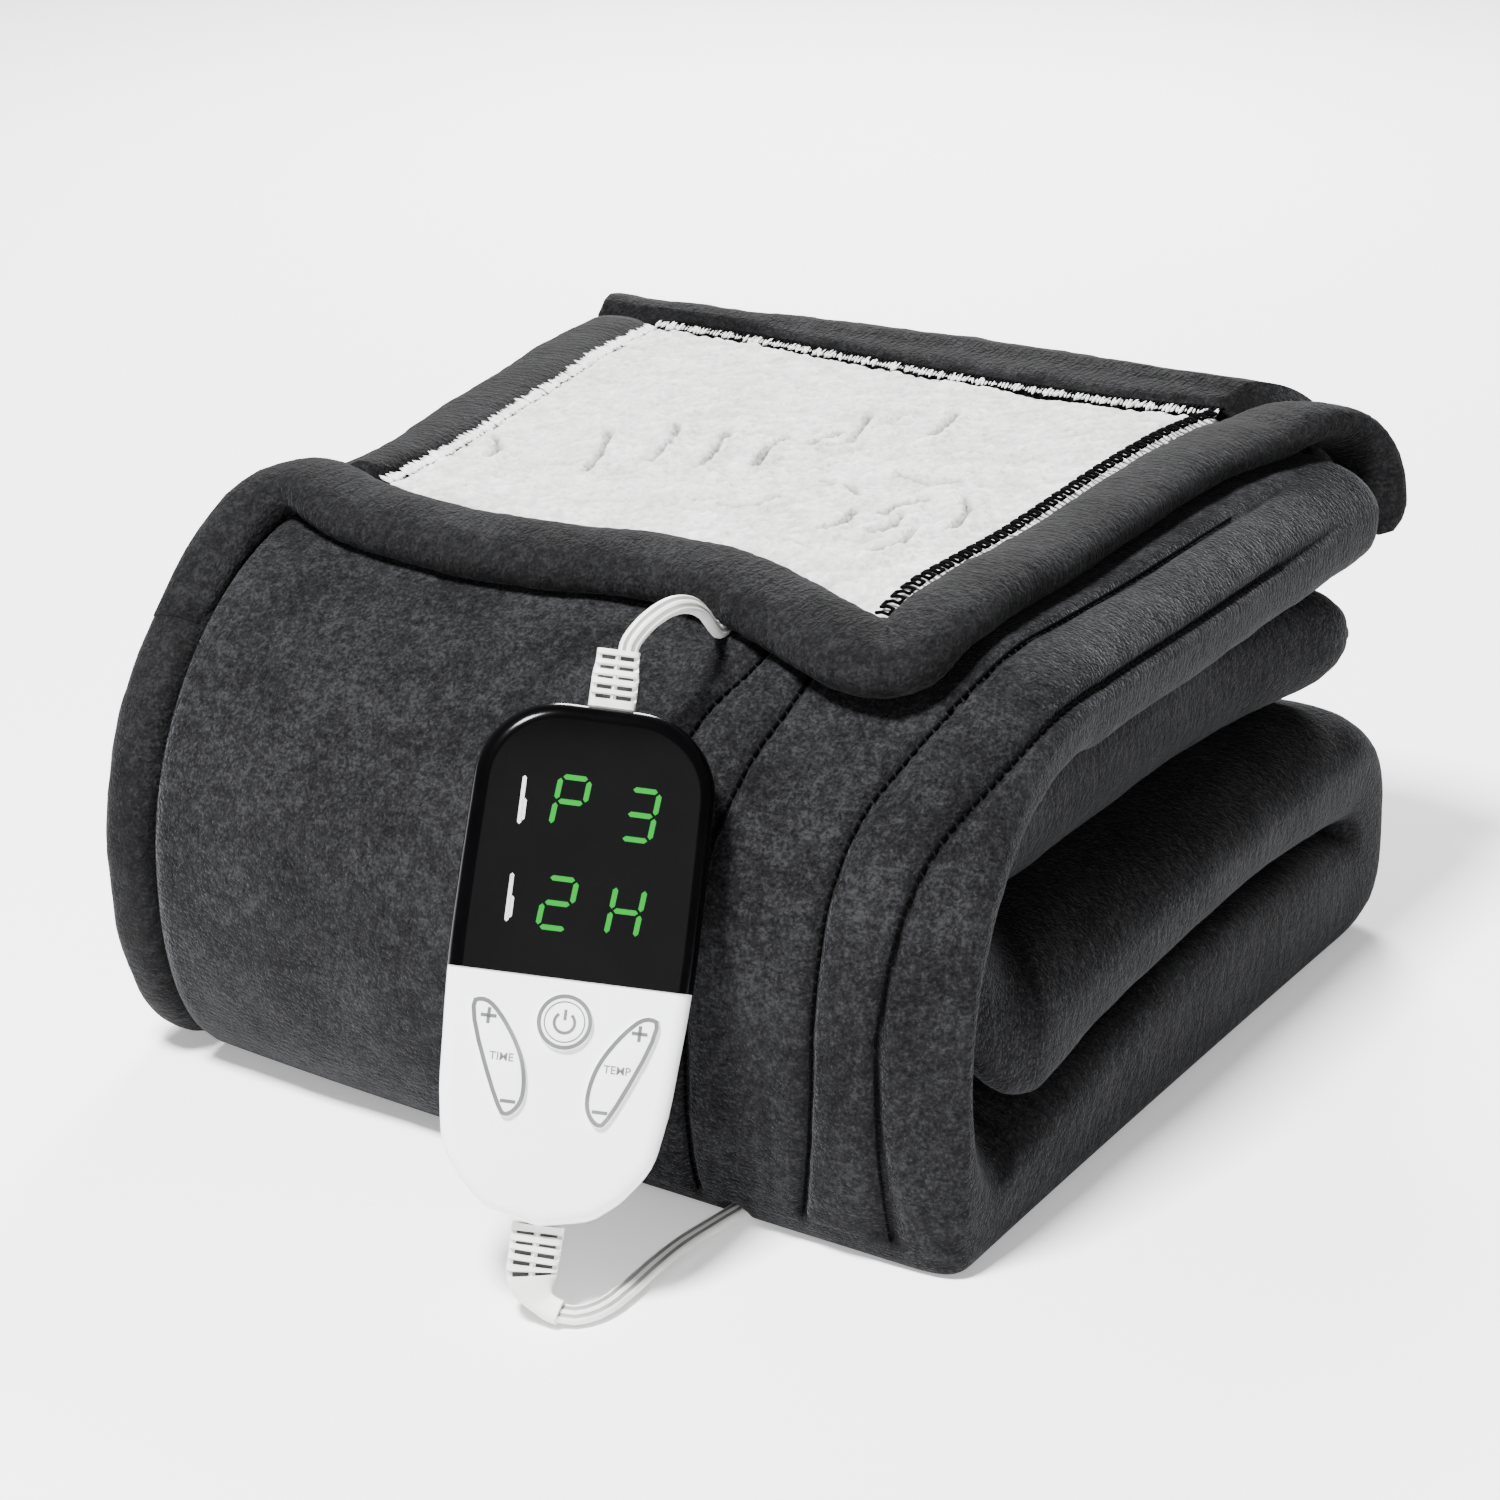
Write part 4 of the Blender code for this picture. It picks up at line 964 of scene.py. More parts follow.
CREASES = (
    ((95, 122), (89, 140), (81, 158)), ((102, 134), (108, 139), (105, 149)),
    ((105, 149), (102, 162), (95, 176)), ((124, 139), (120, 153), (113, 177)),
    ((137, 151), (133, 166), (131, 184)), ((142, 176), (142, 186), (143, 196)),
    ((151, 186), (147, 199), (142, 216)), ((187, 106), (188, 115), (185, 129)),
    ((169, 204), (169, 214), (165, 232)), ((193, 129), (193, 142), (198, 152)),
    ((209, 95), (211, 109), (207, 126)), ((180, 167), (191, 162), (198, 171)),
    ((62, 118), (58, 130), (50, 140)), ((199, 112), (201, 122), (198, 134)),
    ((150, 112), (157, 118), (160, 128)), ((175, 88), (183, 92), (190, 90)),
    ((216, 130), (214, 146), (206, 158)), ((163, 150), (172, 150), (178, 143)),
)


def crease_at(x, y):
    """(depth, bulge beside it) of the nearest crease, both from 0 to 1."""
    depth = bulge = 0.0
    for line in CREASES:
        if abs(x - line[1][0]) > 30 or abs(y - line[1][1]) > 34:
            continue
        for a, b in zip(line, line[1:]):
            run_x, run_y = b[0] - a[0], b[1] - a[1]
            share = limit(((x - a[0]) * run_x + (y - a[1]) * run_y) / (run_x**2 + run_y**2))
            away = math.hypot(x - a[0] - share * run_x, y - a[1] - share * run_y)
            away += 0.7 * rough((x, y, 4), 5, 3.0)
            depth = max(depth, bell(away, 0.85))
            bulge = max(bulge, bell(away - 3.2, 2.6))
    return depth, bulge


def tuft_height(x, y):
    """(height, depth of painted shade) of the pile: curled tufts with sharp valleys, in slanting rows."""
    a, b = x + 4.0 * rough((x, y, 0), 13, 1.0), y + 4.0 * rough((x, y, 0), 13, 8.0)
    slant, cross = (a + 0.55 * b) / 15.0, (b - 0.55 * a) / 6.5
    rows = split(Vector((slant, cross, 0.3))) ** 0.6
    tufts = split(Vector((a / 5.2, b / 6.6, 2.0))) ** 0.7
    curls = split(Vector((a / 2.3, b / 2.8, 5.0)))
    calm = limit(0.5 + 0.9 * rough((x, y, 0), 40, 12.0))
    sunk, bulge = crease_at(x, y)
    high = 1.4 * mix(0.4, 1.0, calm) * rows + 0.9 * tufts + 0.5 * curls + 1.2 * rough((x, y, 0), 24, 6.0)
    return high - 1.3 + 1.3 * bulge - 2.6 * sunk, limit(0.6 - 0.3 * rows - 0.24 * tufts - 0.1 * curls + sunk)


def sherpa_panel():
    work = bmesh.new()
    uv = work.loops.layers.uv.new("UVMap")
    bmesh.ops.create_grid(work, x_segments=PANEL_COLUMNS, y_segments=PANEL_ROWS, size=0.5, calc_uvs=True)
    for face in work.faces:
        for loop in face.loops:
            loop[uv].uv = loop[uv].uv * 0.2
    depth = work.verts.layers.float.new("depth")
    for vert in work.verts:
        u, v = limit(vert.co.x + 0.5), limit(vert.co.y + 0.5)
        x, y = flap_corner(u, v)
        rim = min(min(u, 1 - u) * PANEL_WIDE, min(v, 1 - v) * PANEL_DEEP)
        dip = 2.4 * (1 - limit(rim / 5) ** 0.6)
        # The depth attribute holds painted shade, darkest in the valleys and creases.
        high, vert[depth] = tuft_height(x, y)
        vert.co = place((x, y, top_height(x, y) + PANEL_RISE - dip + high * limit(rim / 3, 0.25)))
    rim_edges = [edge for edge in work.edges if edge.is_boundary]
    for vert in verts_of(bmesh.ops.extrude_edge_only(work, edges=rim_edges)["geom"]):
        x, y = vert.co.x / MM + ORIGIN.x, vert.co.y / MM + ORIGIN.y
        vert.co.z = place((x, y, top_height(x, y) + 1.0)).z
    bmesh.ops.holes_fill(work, edges=[edge for edge in work.edges if edge.is_boundary], sides=0)
    bmesh.ops.recalc_face_normals(work, faces=work.faces)
    return finish_mesh(work, "sherpa", [SHERPA], sharp=75)


sherpa = sherpa_panel()
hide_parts("sherpa_panel")
print("sherpa faces:", len(sherpa.data.polygons))

# %% [markdown]
# ## The controller
# The hand controller is a flat rounded case. Its outline is one face, extruded to its depth, and
# its rims are rounded with a bevel. It is made upright in its own frame and then moved into place,
# turned, leaned back against the cloth and rolled a little, as it stands in the picture.

# %% The controller's frame
CASE_DEEP, CASE_TOP, CASE_CORNER, DISPLAY_FOOT = 22.0, 70.0, 23.0, -3.9
CASE_FOOT, FOOT_ROUND, CORNER_START = -70.6, -42.0, CASE_TOP - CASE_CORNER
FACE = CASE_DEEP / 2
case_half = curve_through(((CASE_FOOT, 0), (-68.4, 11), (-64.5, 18), (-58, 24.3), (-52.6, 27.8),
                           (FOOT_ROUND, 30.4), (-22, 32.2), (-4, 33.2), (20, 33.2), (CORNER_START, 32.6)))
CASE_TURN, CASE_LEAN, CASE_ROLL = math.radians(33.0), math.radians(24.1), math.radians(-8.3)
CASE_FRAME = (Matrix.Translation(place((188.2, -34.5, 88.0))) @ Matrix.Rotation(CASE_TURN, 4, "Z")
              @ Matrix.Rotation(math.pi / 2 - CASE_LEAN, 4, "X") @ Matrix.Rotation(CASE_ROLL, 4, "Z"))


def case_point(x, y, z):
    """A point of the controller's frame, in millimetres from the block's corner."""
    return CASE_FRAME @ (Vector((x, y, z)) * MM) / MM + ORIGIN


def case_edge(foot=CASE_FOOT):
    """The case's outline, anticlockwise from its foot or from a higher cut."""
    right = [(case_half(y), y) for y in np.linspace(max(foot, FOOT_ROUND), CORNER_START, 20)]
    if foot == CASE_FOOT:
        angles = np.linspace(math.pi / 2, 0, 18, endpoint=False)
        low = [(case_half(y), y) for y in [mix(CASE_FOOT, FOOT_ROUND, 1 - math.sin(a)) for a in angles]]
        right = [p for p in low if p[0] > 0.05] + right
    edge = right[-1][0] - CASE_CORNER
    for a in np.linspace(0, math.pi / 2, 14)[1:]:
        right.append((edge + CASE_CORNER * math.cos(a), CORNER_START + CASE_CORNER * math.sin(a)))
    return right + [(-x, y) for x, y in right[::-1]]


def flat_face(work, outline, height):
    return work.faces.new([work.verts.new((x * MM, y * MM, height * MM)) for x, y in outline])


def pull_up(work, faces, height):
    """Extrudes flat faces straight up by a height."""
    raised = verts_of(bmesh.ops.extrude_face_region(work, geom=faces)["geom"])
    bmesh.ops.translate(work, verts=raised, vec=(0, 0, height * MM))


def put_on_case(work, name, materials, body="blanket", sharp=40):
    """Moves a mesh made in the controller's frame to its place."""
    bmesh.ops.recalc_face_normals(work, faces=work.faces)
    bmesh.ops.transform(work, matrix=CASE_FRAME, verts=work.verts)
    return finish_mesh(work, name, materials, body, sharp)


def slab(name, outline, low, high, materials, front=0.0, rear=0.0, segments=6, body="blanket", sharp=None,
         cut=None):
    """An outline extruded from low to high, with bevelled front and rear rims but for the edge at cut."""
    work = bmesh.new()
    pull_up(work, [flat_face(work, outline, low)], high - low)
    for z, amount in ((high, front), (low, rear)):
        if amount:
            rim = [e for e in work.edges if all(abs(v.co.z - z * MM) < 1e-6 for v in e.verts)
                   and (cut is None or any(abs(v.co.y - cut * MM) > 1e-5 for v in e.verts))]
            bmesh.ops.bevel(work, geom=rim, offset=amount * MM, offset_type="OFFSET", segments=segments,
                            profile=0.5, affect="EDGES", material=-1)
    return put_on_case(work, name, materials, body, sharp)


CASE_SEAM, SEAM_HALF_GAP, GLASS_PROUD = -1.0, 0.25, 0.35
case = slab("case_front", case_edge(), CASE_SEAM + SEAM_HALF_GAP, FACE, [CASE_WHITE], front=4.6, rear=0.3,
            segments=8, sharp=40)
rear = slab("case_rear", case_edge(), -FACE, CASE_SEAM - SEAM_HALF_GAP, [CASE_WHITE], front=0.3, rear=4.8,
            sharp=40)
inner_edge = [(x * 0.98, y * 0.985) for x, y in case_edge()]
core = slab("case_core", inner_edge, CASE_SEAM - 1.5, CASE_SEAM + 1.5, [CASE_WHITE])
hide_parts("controller_case")
cap_edge = [(x * 1.008, y + (0.25 if y > 0 else 0)) for x, y in case_edge(DISPLAY_FOOT)]
display = slab("display_cap", cap_edge, 0.5, FACE + GLASS_PROUD, [GLASS_BLACK], front=4.6, segments=8,
               sharp=40, cut=DISPLAY_FOOT)
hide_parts("display_window")
print("case faces:", len(case.data.polygons))

# %% [markdown]
# ## Figures on the display
# A seven-segment figure is made of bars with pointed ends. One bar is a six-cornered face pulled
# up a little; each figure takes the bars that it needs, and all of them lean to the right.

# %% Seven-segment figures
BARS = {"top": (0, 1, True), "middle": (0, 0, True), "foot": (0, -1, True), "upper_left": (-1, 0.5, False),
        "upper_right": (1, 0.5, False), "lower_left": (-1, -0.5, False), "lower_right": (1, -0.5, False)}
FIGURES = {
    "P": ("top", "middle", "upper_left", "upper_right", "lower_left"),
    "3": ("top", "middle", "foot", "upper_right", "lower_right"),
    "2": ("top", "middle", "foot", "upper_right", "lower_left"),
    "H": ("middle", "upper_left", "upper_right", "lower_left", "lower_right"),
}
FIGURE_HALF, FIGURE_TALL, BAR_HALF, LEAN = 3.9, 6.7, 0.72, 0.09
FIGURE_LOW, FIGURE_RISE = FACE + GLASS_PROUD + 0.01, 0.16


def add_bar(work, x, y, long, flat, thick=BAR_HALF):
    """A pointed bar, flat along x or upright along y."""
    shape = [(-long, 0), (-long + thick, -thick), (long - thick, -thick), (long, 0), (long - thick, thick),
             (-long + thick, thick)]
    corners = [(x + a, y + b) if flat else (x + b, y - a) for a, b in shape]
    pull_up(work, [flat_face(work, corners, FIGURE_LOW)], FIGURE_RISE)


work = bmesh.new()
for text, x, y in (("P", -6.0, 43.4), ("3", 13.1, 42.3), ("2", -6.0, 16.0), ("H", 12.5, 16.0)):
    start = len(work.verts)
    for bar in FIGURES[text]:
        across, up, flat = BARS[bar]
        long = FIGURE_HALF - 0.55 if flat else FIGURE_TALL / 2 - 0.45
        add_bar(work, across * FIGURE_HALF, up * FIGURE_TALL, long, flat)
    work.verts.ensure_lookup_table()
    for vert in work.verts[start:]:
        vert.co.x += (x + vert.co.y / MM * LEAN) * MM
        vert.co.y += y * MM
figures = put_on_case(work, "display_figures", [GLOW])

work = bmesh.new()
for y in (42.5, 16.1):
    add_bar(work, -19.0, y, 6.6, False, 0.55)
    add_bar(work, -18.2, y - 2.5, 3.0, False, 0.5)
marks = put_on_case(work, "display_marks", [MARK_PALE])

# %% [markdown]
# ## Keys
# The round power key and the two rocker keys move, so each is a piece of its own that rides on
# its own body, and its printed mark rides with it. A key is a low slab with a rounded rim; the
# grey line round it is a thin ring, made by insetting the outline and taking away the middle.

# %% Key outlines
KEY_Y, KEY_RADIUS, KEY_THICK, KEY_PROUD = -15.3, 7.6, 2.5, 1.2
KEY_LOW, KEY_HIGH = FACE + KEY_PROUD - KEY_THICK, FACE + KEY_PROUD
ROCKER = ((-27.1, -12.6), (-21.2, -10.3), (-15.4, -15.8), (-9.8, -24.5), (-7.7, -32.3), (-8.0, -38.8),
          (-11.8, -43.0), (-15.3, -41.3))
LINE_SUNK, LINE_HIGH = 0.05, 0.1  # a printed line goes this far into its key, and stands this far above it


def round_off(points, passes):
    """Cuts every corner of a closed outline again and again, which rounds it."""
    for _ in range(passes):
        cut = []
        for (ax, ay), (bx, by) in zip(points, points[1:] + points[:1]):
            cut += [(mix(ax, bx, 0.25), mix(ay, by, 0.25)), (mix(ax, bx, 0.75), mix(ay, by, 0.75))]
        points = cut
    return points


def disc(radius, centre_y, sides=64):
    turns = [2 * math.pi * i / sides for i in range(sides)]
    return [(radius * math.cos(a), centre_y + radius * math.sin(a)) for a in turns]


def inset(work, face, distance):
    """The band that an inset makes along a face's edge."""
    return bmesh.ops.inset_region(work, faces=[face], thickness=distance * MM, use_even_offset=True,
                                  use_boundary=True)["faces"]


def ring_line(name, outline, margin, wide, body):
    """A grey line of some width inside a key's outline, pulled up a little."""
    work = bmesh.new()
    face = flat_face(work, outline, KEY_HIGH - LINE_SUNK)
    work.normal_update()
    if margin:
        bmesh.ops.delete(work, geom=inset(work, face, margin), context="FACES_ONLY")
    inset(work, face, wide)
    bmesh.ops.delete(work, geom=[face], context="FACES_ONLY")
    pull_up(work, list(work.faces), LINE_SUNK + LINE_HIGH)
    bmesh.ops.delete(work, geom=[v for v in work.verts if not v.link_faces], context="VERTS")
    return put_on_case(work, name, [LINE_GREY], body)


# %% The keys and their lines
power = slab("power_button", disc(KEY_RADIUS, KEY_Y), KEY_LOW, KEY_HIGH, [KEY_WHITE], front=0.5, segments=4,
             body="power_key", sharp=40)
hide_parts("power_key")
for name, radius, wide in (("power_ring_outer", 7.45, 1.1), ("power_ring_inner", 5.6, 0.35)):
    ring_line(name, disc(radius, KEY_Y), 0.0, wide, "power_key")
for node, side in (("time_rocker", 1), ("temp_rocker", -1)):
    outline = round_off([(x * side * 1.01, y) for x, y in ROCKER], 2)
    rocker = slab(node.replace("rocker", "button"), outline, KEY_LOW, KEY_HIGH, [KEY_WHITE], front=0.5,
                  segments=4, body=node, sharp=40)
    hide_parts(node)
    ring_line(node.replace("rocker", "outline"), outline, 0.2, 1.15, node)


# %% [markdown]
# The words and signs on the keys are plain control labels: plus, minus, time, temperature and
# the power sign. They are thin flat bars, and letters turned into a mesh. Two screws hold the
# case together at the back.

# %% Printed marks and screws
def add_box(work, x, y, wide, tall, low=KEY_HIGH, high=KEY_HIGH + LINE_HIGH, turned=0.0):
    spot = Matrix.Translation(Vector((x, y, (low + high) / 2)) * MM) @ Matrix.Rotation(turned, 4, "Z")
    size = Matrix.Diagonal((wide * MM, tall * MM, (high - low) * MM, 1.0))
    bmesh.ops.create_cube(work, size=1.0, matrix=spot @ size)


def add_word(work, text, x, y, size):
    """A word as flat letters, made a mesh first and then put in its place."""
    line = bpy.data.curves.new(text, "FONT")
    line.body, line.size, line.align_x, line.align_y = text, size * MM, "CENTER", "CENTER"
    line.extrude, line.offset = LINE_HIGH / 2 * MM, 0.03 * MM
    holder = bpy.data.objects.new(text, line)
    bpy.context.collection.objects.link(holder)
    letters = bpy.data.meshes.new_from_object(holder)
    bpy.data.objects.remove(holder)
    letters.transform(Matrix.Translation(Vector((x, y, KEY_HIGH + LINE_HIGH / 2)) * MM))
    work.from_mesh(letters)


def add_power_sign(work, y):
    """A ring with a gap on top, and a short bar in the gap."""
    radius, thick = 2.75, 0.85
    turns = [math.radians(a) for a in np.linspace(128, 412, 28)]
    for a, b in zip(turns, turns[1:]):
        middle = (a + b) / 2
        add_box(work, radius * math.cos(middle), y + radius * math.sin(middle), thick,
                radius * (b - a) * 1.08, turned=middle)
    add_box(work, 0.0, y + 2.1, thick, 2.9)


def add_cross(work, x, y, long, thick, *heights):
    add_box(work, x, y, long, thick, *heights)
    add_box(work, x, y, thick, long, *heights)


work = bmesh.new()
add_power_sign(work, KEY_Y - 0.2)
put_on_case(work, "power_key_mark", [LINE_GREY], "power_key")
for body, text, side in (("time_rocker", "TIME", 1), ("temp_rocker", "TEMP", -1)):
    work = bmesh.new()
    add_cross(work, -20.4 * side, -16.0, 4.3, 0.95)
    add_box(work, -12.4 * side, -38.2, 4.2, 0.95)
    add_word(work, text, -15.6 * side, -26.6, 3.1)
    put_on_case(work, body + "_mark", [LINE_GREY], body)
for number, height in enumerate((38.0, -40.0)):
    screw = slab(f"case_screw_{number}", disc(2.3, height, 32), -FACE - 0.15, -FACE + 0.6, [PIN_METAL],
                 rear=0.25, segments=3)
    work = bmesh.new()
    # The dark cross is a painted shadow of the screw's cross recess, which is not cut.
    add_cross(work, 0.0, height, 2.8, 0.55, -FACE - 0.2, -FACE + 0.1)
    put_on_case(work, f"screw_cross_shadow_{number}", [SLOT_SHADOW])

# %% [markdown]
# ## Strain reliefs and leads
# Where a lead enters the case, a moulded sleeve with rows of slots lets it bend without breaking.
# The sleeve is a bent grid round the lead's path; its slots are pressed-in cells with a painted shadow. The
# lead itself is flat with three ribs, one over each wire, and painted shade makes the valleys between them
# greyer.


# %% Paths
def even_path(route, count):
    """Points at even spacing on a smooth curve through a route."""
    route = np.array([tuple(p) for p in route], float)
    lengths = np.concatenate([[0], np.cumsum(np.linalg.norm(np.diff(route, axis=0), axis=1))])
    curves = [curve_through(list(zip(lengths, route[:, k]))) for k in range(3)]
    dense = np.array([[curve(at) for curve in curves] for at in np.linspace(0, lengths[-1], count * 8)])
    along = np.concatenate([[0], np.cumsum(np.linalg.norm(np.diff(dense, axis=0), axis=1))])
    even = np.linspace(0, along[-1], count)
    return [Vector([float(np.interp(at, along, dense[:, k])) for k in range(3)]) for at in even]


def path_length(path):
    return sum((b - a).length for a, b in zip(path, path[1:]))


UPRIGHT = Vector((0, 0, 1))


def rings_along(path, up, shape, level=0.0):
    """(rings of points across a path, up at its end): up turns with the path, drawn upright by level."""
    rings = []
    for j, point in enumerate(path):
        along = (path[min(j + 1, len(path) - 1)] - path[max(j - 1, 0)]).normalized()
        up = up.lerp(UPRIGHT, level)
        up = (up - along * up.dot(along)).normalized()
        across = along.cross(up)
        rings.append([tuple(point + across * a + up * b) for a, b in shape(j)])
    return rings, up


# %% Strain reliefs
RELIEF_ROUND, SLOT_ROWS = 64, 5
# Columns of half a round: the one between two slots, and those where a row of slots starts and ends.
BRIDGE, SLOT_START, SLOT_END = 24, 15, 1


def soft_square(count, power):
    """Points round a square with soft corners, evenly spread along its sides."""
    ring = []
    for i in range(count):
        side, share = divmod(i * 4 / count, 1)
        a, b = 1.0, 2 * share - 1
        for _ in range(int(side)):
            a, b = -b, a
        size = (abs(a) ** power + abs(b) ** power) ** (1 / power)
        ring.append((a / size, b / size))
    return ring


RELIEF_RING = soft_square(RELIEF_ROUND, 6.0)
CASE_OUT = (case_point(0, 0, 1) - case_point(0, 0, 0)).normalized()


def relief(name, path, sizes, slots, node):
    """(sleeve, up at its tip): it tapers from the case to the lead, with slots on its flat sides."""
    wide, deep, tip_wide, tip_deep = sizes
    last = len(path) - 1

    def shape(j):
        share = j / last
        narrow = limit((share - 0.5) / 0.34)
        narrow = 0.15 * share + 0.85 * narrow * narrow * (3 - 2 * narrow)
        half_side, half_up = mix(wide, tip_wide, narrow), mix(deep, tip_deep, narrow)
        return [(half_side * a, half_up * b) for a, b in RELIEF_RING]

    rings, tip_up = rings_along(path, CASE_OUT, shape)

    def in_slot(i, j):
        share = j / last
        if not slots[0] < share < slots[1]:
            return False
        row = (share - slots[0]) / (slots[1] - slots[0]) * SLOT_ROWS % 1
        column = i % (RELIEF_ROUND // 2)
        return 0.25 < row < 0.7 and column != BRIDGE and (column >= SLOT_START or column <= SLOT_END)

    def puff(i, j):
        return -1.5 if in_slot(i, j) else 0.0

    # Slot cells are coloured with a painted shadow.
    def look(i, j):
        return 1 if in_slot(i, j) and in_slot(i + 1, j + 1) else 0

    made = bend_grid(name, RELIEF_ROUND, last, lambda i, j: rings[j][i], [LEAD_WHITE, SLOT_SHADOW],
                     (0.04, 0.03), puff, look, sharp=35)
    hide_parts(node)
    return made, tip_up


RELIEF_UP_SIDE, LEAD_SIDE, RELIEF_LONG, RELIEF_START = 1.8, 2.6, 15.5, CASE_TOP + 0.6
upper_path = [case_point(RELIEF_UP_SIDE, RELIEF_START + (RELIEF_LONG + 0.4) * i / 60, 0) for i in range(61)]
relief("upper_relief", upper_path, (6.5, 4.7, 5.9, 3.8), (0.1, 0.96), "relief_upper")
foot = [case_point(0, -70.5, 0), case_point(0, -86.0, 0)]
RELIEF_BEND = ((199.6, -71.5, 7.0), (202.6, -72.1, 4.6), (206.5, -71.3, 3.9))
lower_path = even_path([foot[0], foot[0].lerp(foot[1], 0.5), foot[1], *map(Vector, RELIEF_BEND)], 81)
for _ in range(90):
    lower_path[1:-1] = [(a + b + c) / 3 for a, b, c in zip(lower_path, lower_path[1:], lower_path[2:])]
lower_relief, foot_up = relief("lower_relief", lower_path, (7.2, 5.2, 3.3, 2.7), (0.04, 0.53), "relief_lower")
print("lower relief:", round(path_length(lower_path), 1), "mm along its bend")

# %% [markdown]
# ## The mains lead
# The lead leaves the lower relief, runs under the block and lies behind it in a coil of seven
# turns that ends in a plug. The turns lie side by side and on each other, a lead's width apart:
# one in the middle of the bundle and six round it.

# %% Path of the mains lead
LEAD = 5.4
COIL_CENTRE, COIL_MEAN, COIL_TOUCH = (165.0, 362.0), 33.0, math.radians(-27.0)
BUNDLE_Z, TURN_STEPS = 7.9, 28
PLUG_Y, PLUG_Z = 405.3, 9.6


def round_coil(radius, angle, z):
    """A point at a radius and an angle round the coil's middle."""
    return COIL_CENTRE[0] + radius * math.cos(angle), COIL_CENTRE[1] + radius * math.sin(angle), z


def coil_slots():
    """(radius, height) of the seven turns: six in a ring and one in its middle."""
    ring = [(COIL_MEAN + LEAD * math.cos(math.radians(a)), BUNDLE_Z + LEAD * math.sin(math.radians(a)))
            for a in (-30, 30, 90, 150, 210, 270)]
    return [ring[0], ring[5], ring[4], (COIL_MEAN, BUNDLE_Z), ring[3], ring[2], ring[1]]


def coil_path():
    """Seven turns; each moves over to its next slot during its last part."""
    slots = coil_slots()
    points = []
    for (radius, height), following in zip(slots, slots[1:] + slots[-1:]):
        for step in range(TURN_STEPS):
            share = step / TURN_STEPS
            over = limit((share - 0.7) / 0.3)
            over = over * over * (3 - 2 * over)
            angle = COIL_TOUCH + 2 * math.pi * (share + 0.12)
            r, z = mix(radius, following[0], over), mix(height, following[1], over)
            points.append(Vector(round_coil(r, angle, z)))
    return points


def mains_path():
    """From the lower relief along the floor, under the block, seven turns round and out to the plug."""
    touch = round_coil(42.3, COIL_TOUCH, 4.6)
    lead_in = round_coil(39.6, COIL_TOUCH + 0.4, 4.9)
    front = even_path([(203.6, -71.8, 4.7), *MAINS_ROUTE, touch, lead_in], 130)
    tail = [round_coil(radius, math.radians(a), z)
            for a, radius, z in ((16, 37.7, 10.6), (38, 38.8, 10.5), (62, 41.4, 10.1), (82, 43.2, 9.7))]
    tail += [(x, PLUG_Y, PLUG_Z) for x in (160.0, 152.0, 149.5)]
    return front + coil_path() + even_path(tail, 22)


LEAD_COLUMNS, VALLEYS = 28, (4, 5, 8, 9)  # columns round a lead, and those of a side between its ribs
LEAD_HALF_WIDE, LEAD_HALF_TALL = 2.8, 1.85


def ribbed():
    """A closed outline across a flat lead with three ribs."""
    outline = []
    for i in range(LEAD_COLUMNS):
        angle = 2 * math.pi * i / LEAD_COLUMNS
        x = LEAD_HALF_WIDE * math.cos(angle)
        rib = 0.5 + 0.5 * abs(math.cos(math.pi * x / (LEAD_HALF_WIDE * 0.72))) ** 0.7
        outline.append((x, LEAD_HALF_TALL * rib * squarish(angle, 0.7)[1]))
    return outline


def make_lead(name, path, up, level):
    outline = ribbed()
    rings, _ = rings_along(path, up, lambda j: outline, level)

    # Valley faces take the painted shade.
    def look(i, j):
        return 1 if i % (LEAD_COLUMNS // 2) in VALLEYS else 0

    return bend_grid(name, LEAD_COLUMNS, len(path) - 1, lambda i, j: rings[j][i], [LEAD_WHITE, LEAD_VALLEY_SHADE],
                     (0.016, path_length(path) * MM), look=look)


mains = mains_path()
mains_lead = make_lead("mains_lead", mains, foot_up, 0.12)
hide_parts("lead_mains", "lead_coil", "lead_tail")
MAINS_LENGTH = path_length(mains) * MM
print("mains lead:", round(MAINS_LENGTH, 3), "m")

# %% [markdown]
# ## The upper lead
# The wire that warms the blanket leaves the top of the case, bends over and slips under the roll
# of the flap, where it joins the cloth.

# %% The upper lead
UPPER_ROUTE = ((184.8, 8.0, 171.2), (186.6, 13.0, 174.0), (187.8, 19.0, 174.9), (188.4, 27.0, 173.2),
               (187.9, 35.0, 168.9), (186.6, 41.5, 163.6), (185.0, 48.0, 159.0), (183.5, 55.0, 157.6))
upper_tip = case_point(RELIEF_UP_SIDE + LEAD_SIDE, RELIEF_START + RELIEF_LONG - 1.0, 0)
upper = even_path([upper_tip, case_point(4.4, 88.0, 0), *UPPER_ROUTE], 40)
upper_lead = make_lead("upper_lead", upper, CASE_OUT, 0.0)
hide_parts("lead_upper")
print("upper lead:", round(path_length(upper), 1), "mm")


# %% [markdown]
# ## The plug
# A plain moulded plug with two flat pins. The body is a cube drawn out, tapered and rounded with a
# bevel, and a ringed sleeve holds the lead behind it.

# %% Plug, its sleeve and its pins
def rounded_box(name, centre, size, radius, materials, segments=5, taper=1.0):
    """A box with round edges, its right end smaller by the taper."""
    work = bmesh.new()
    bmesh.ops.create_cube(work, size=1.0)
    for vert in work.verts:
        narrow = taper if vert.co.x > 0 else 1.0
        vert.co = place((centre[0] + vert.co.x * size[0], centre[1] + vert.co.y * size[1] * narrow,
                         centre[2] + vert.co.z * size[2] * narrow))
    bmesh.ops.bevel(work, geom=work.edges[:], offset=radius * MM, offset_type="OFFSET", segments=segments,
                    profile=0.5, affect="EDGES", material=-1)
    bmesh.ops.recalc_face_normals(work, faces=work.faces)
    return finish_mesh(work, name, materials, sharp=40)


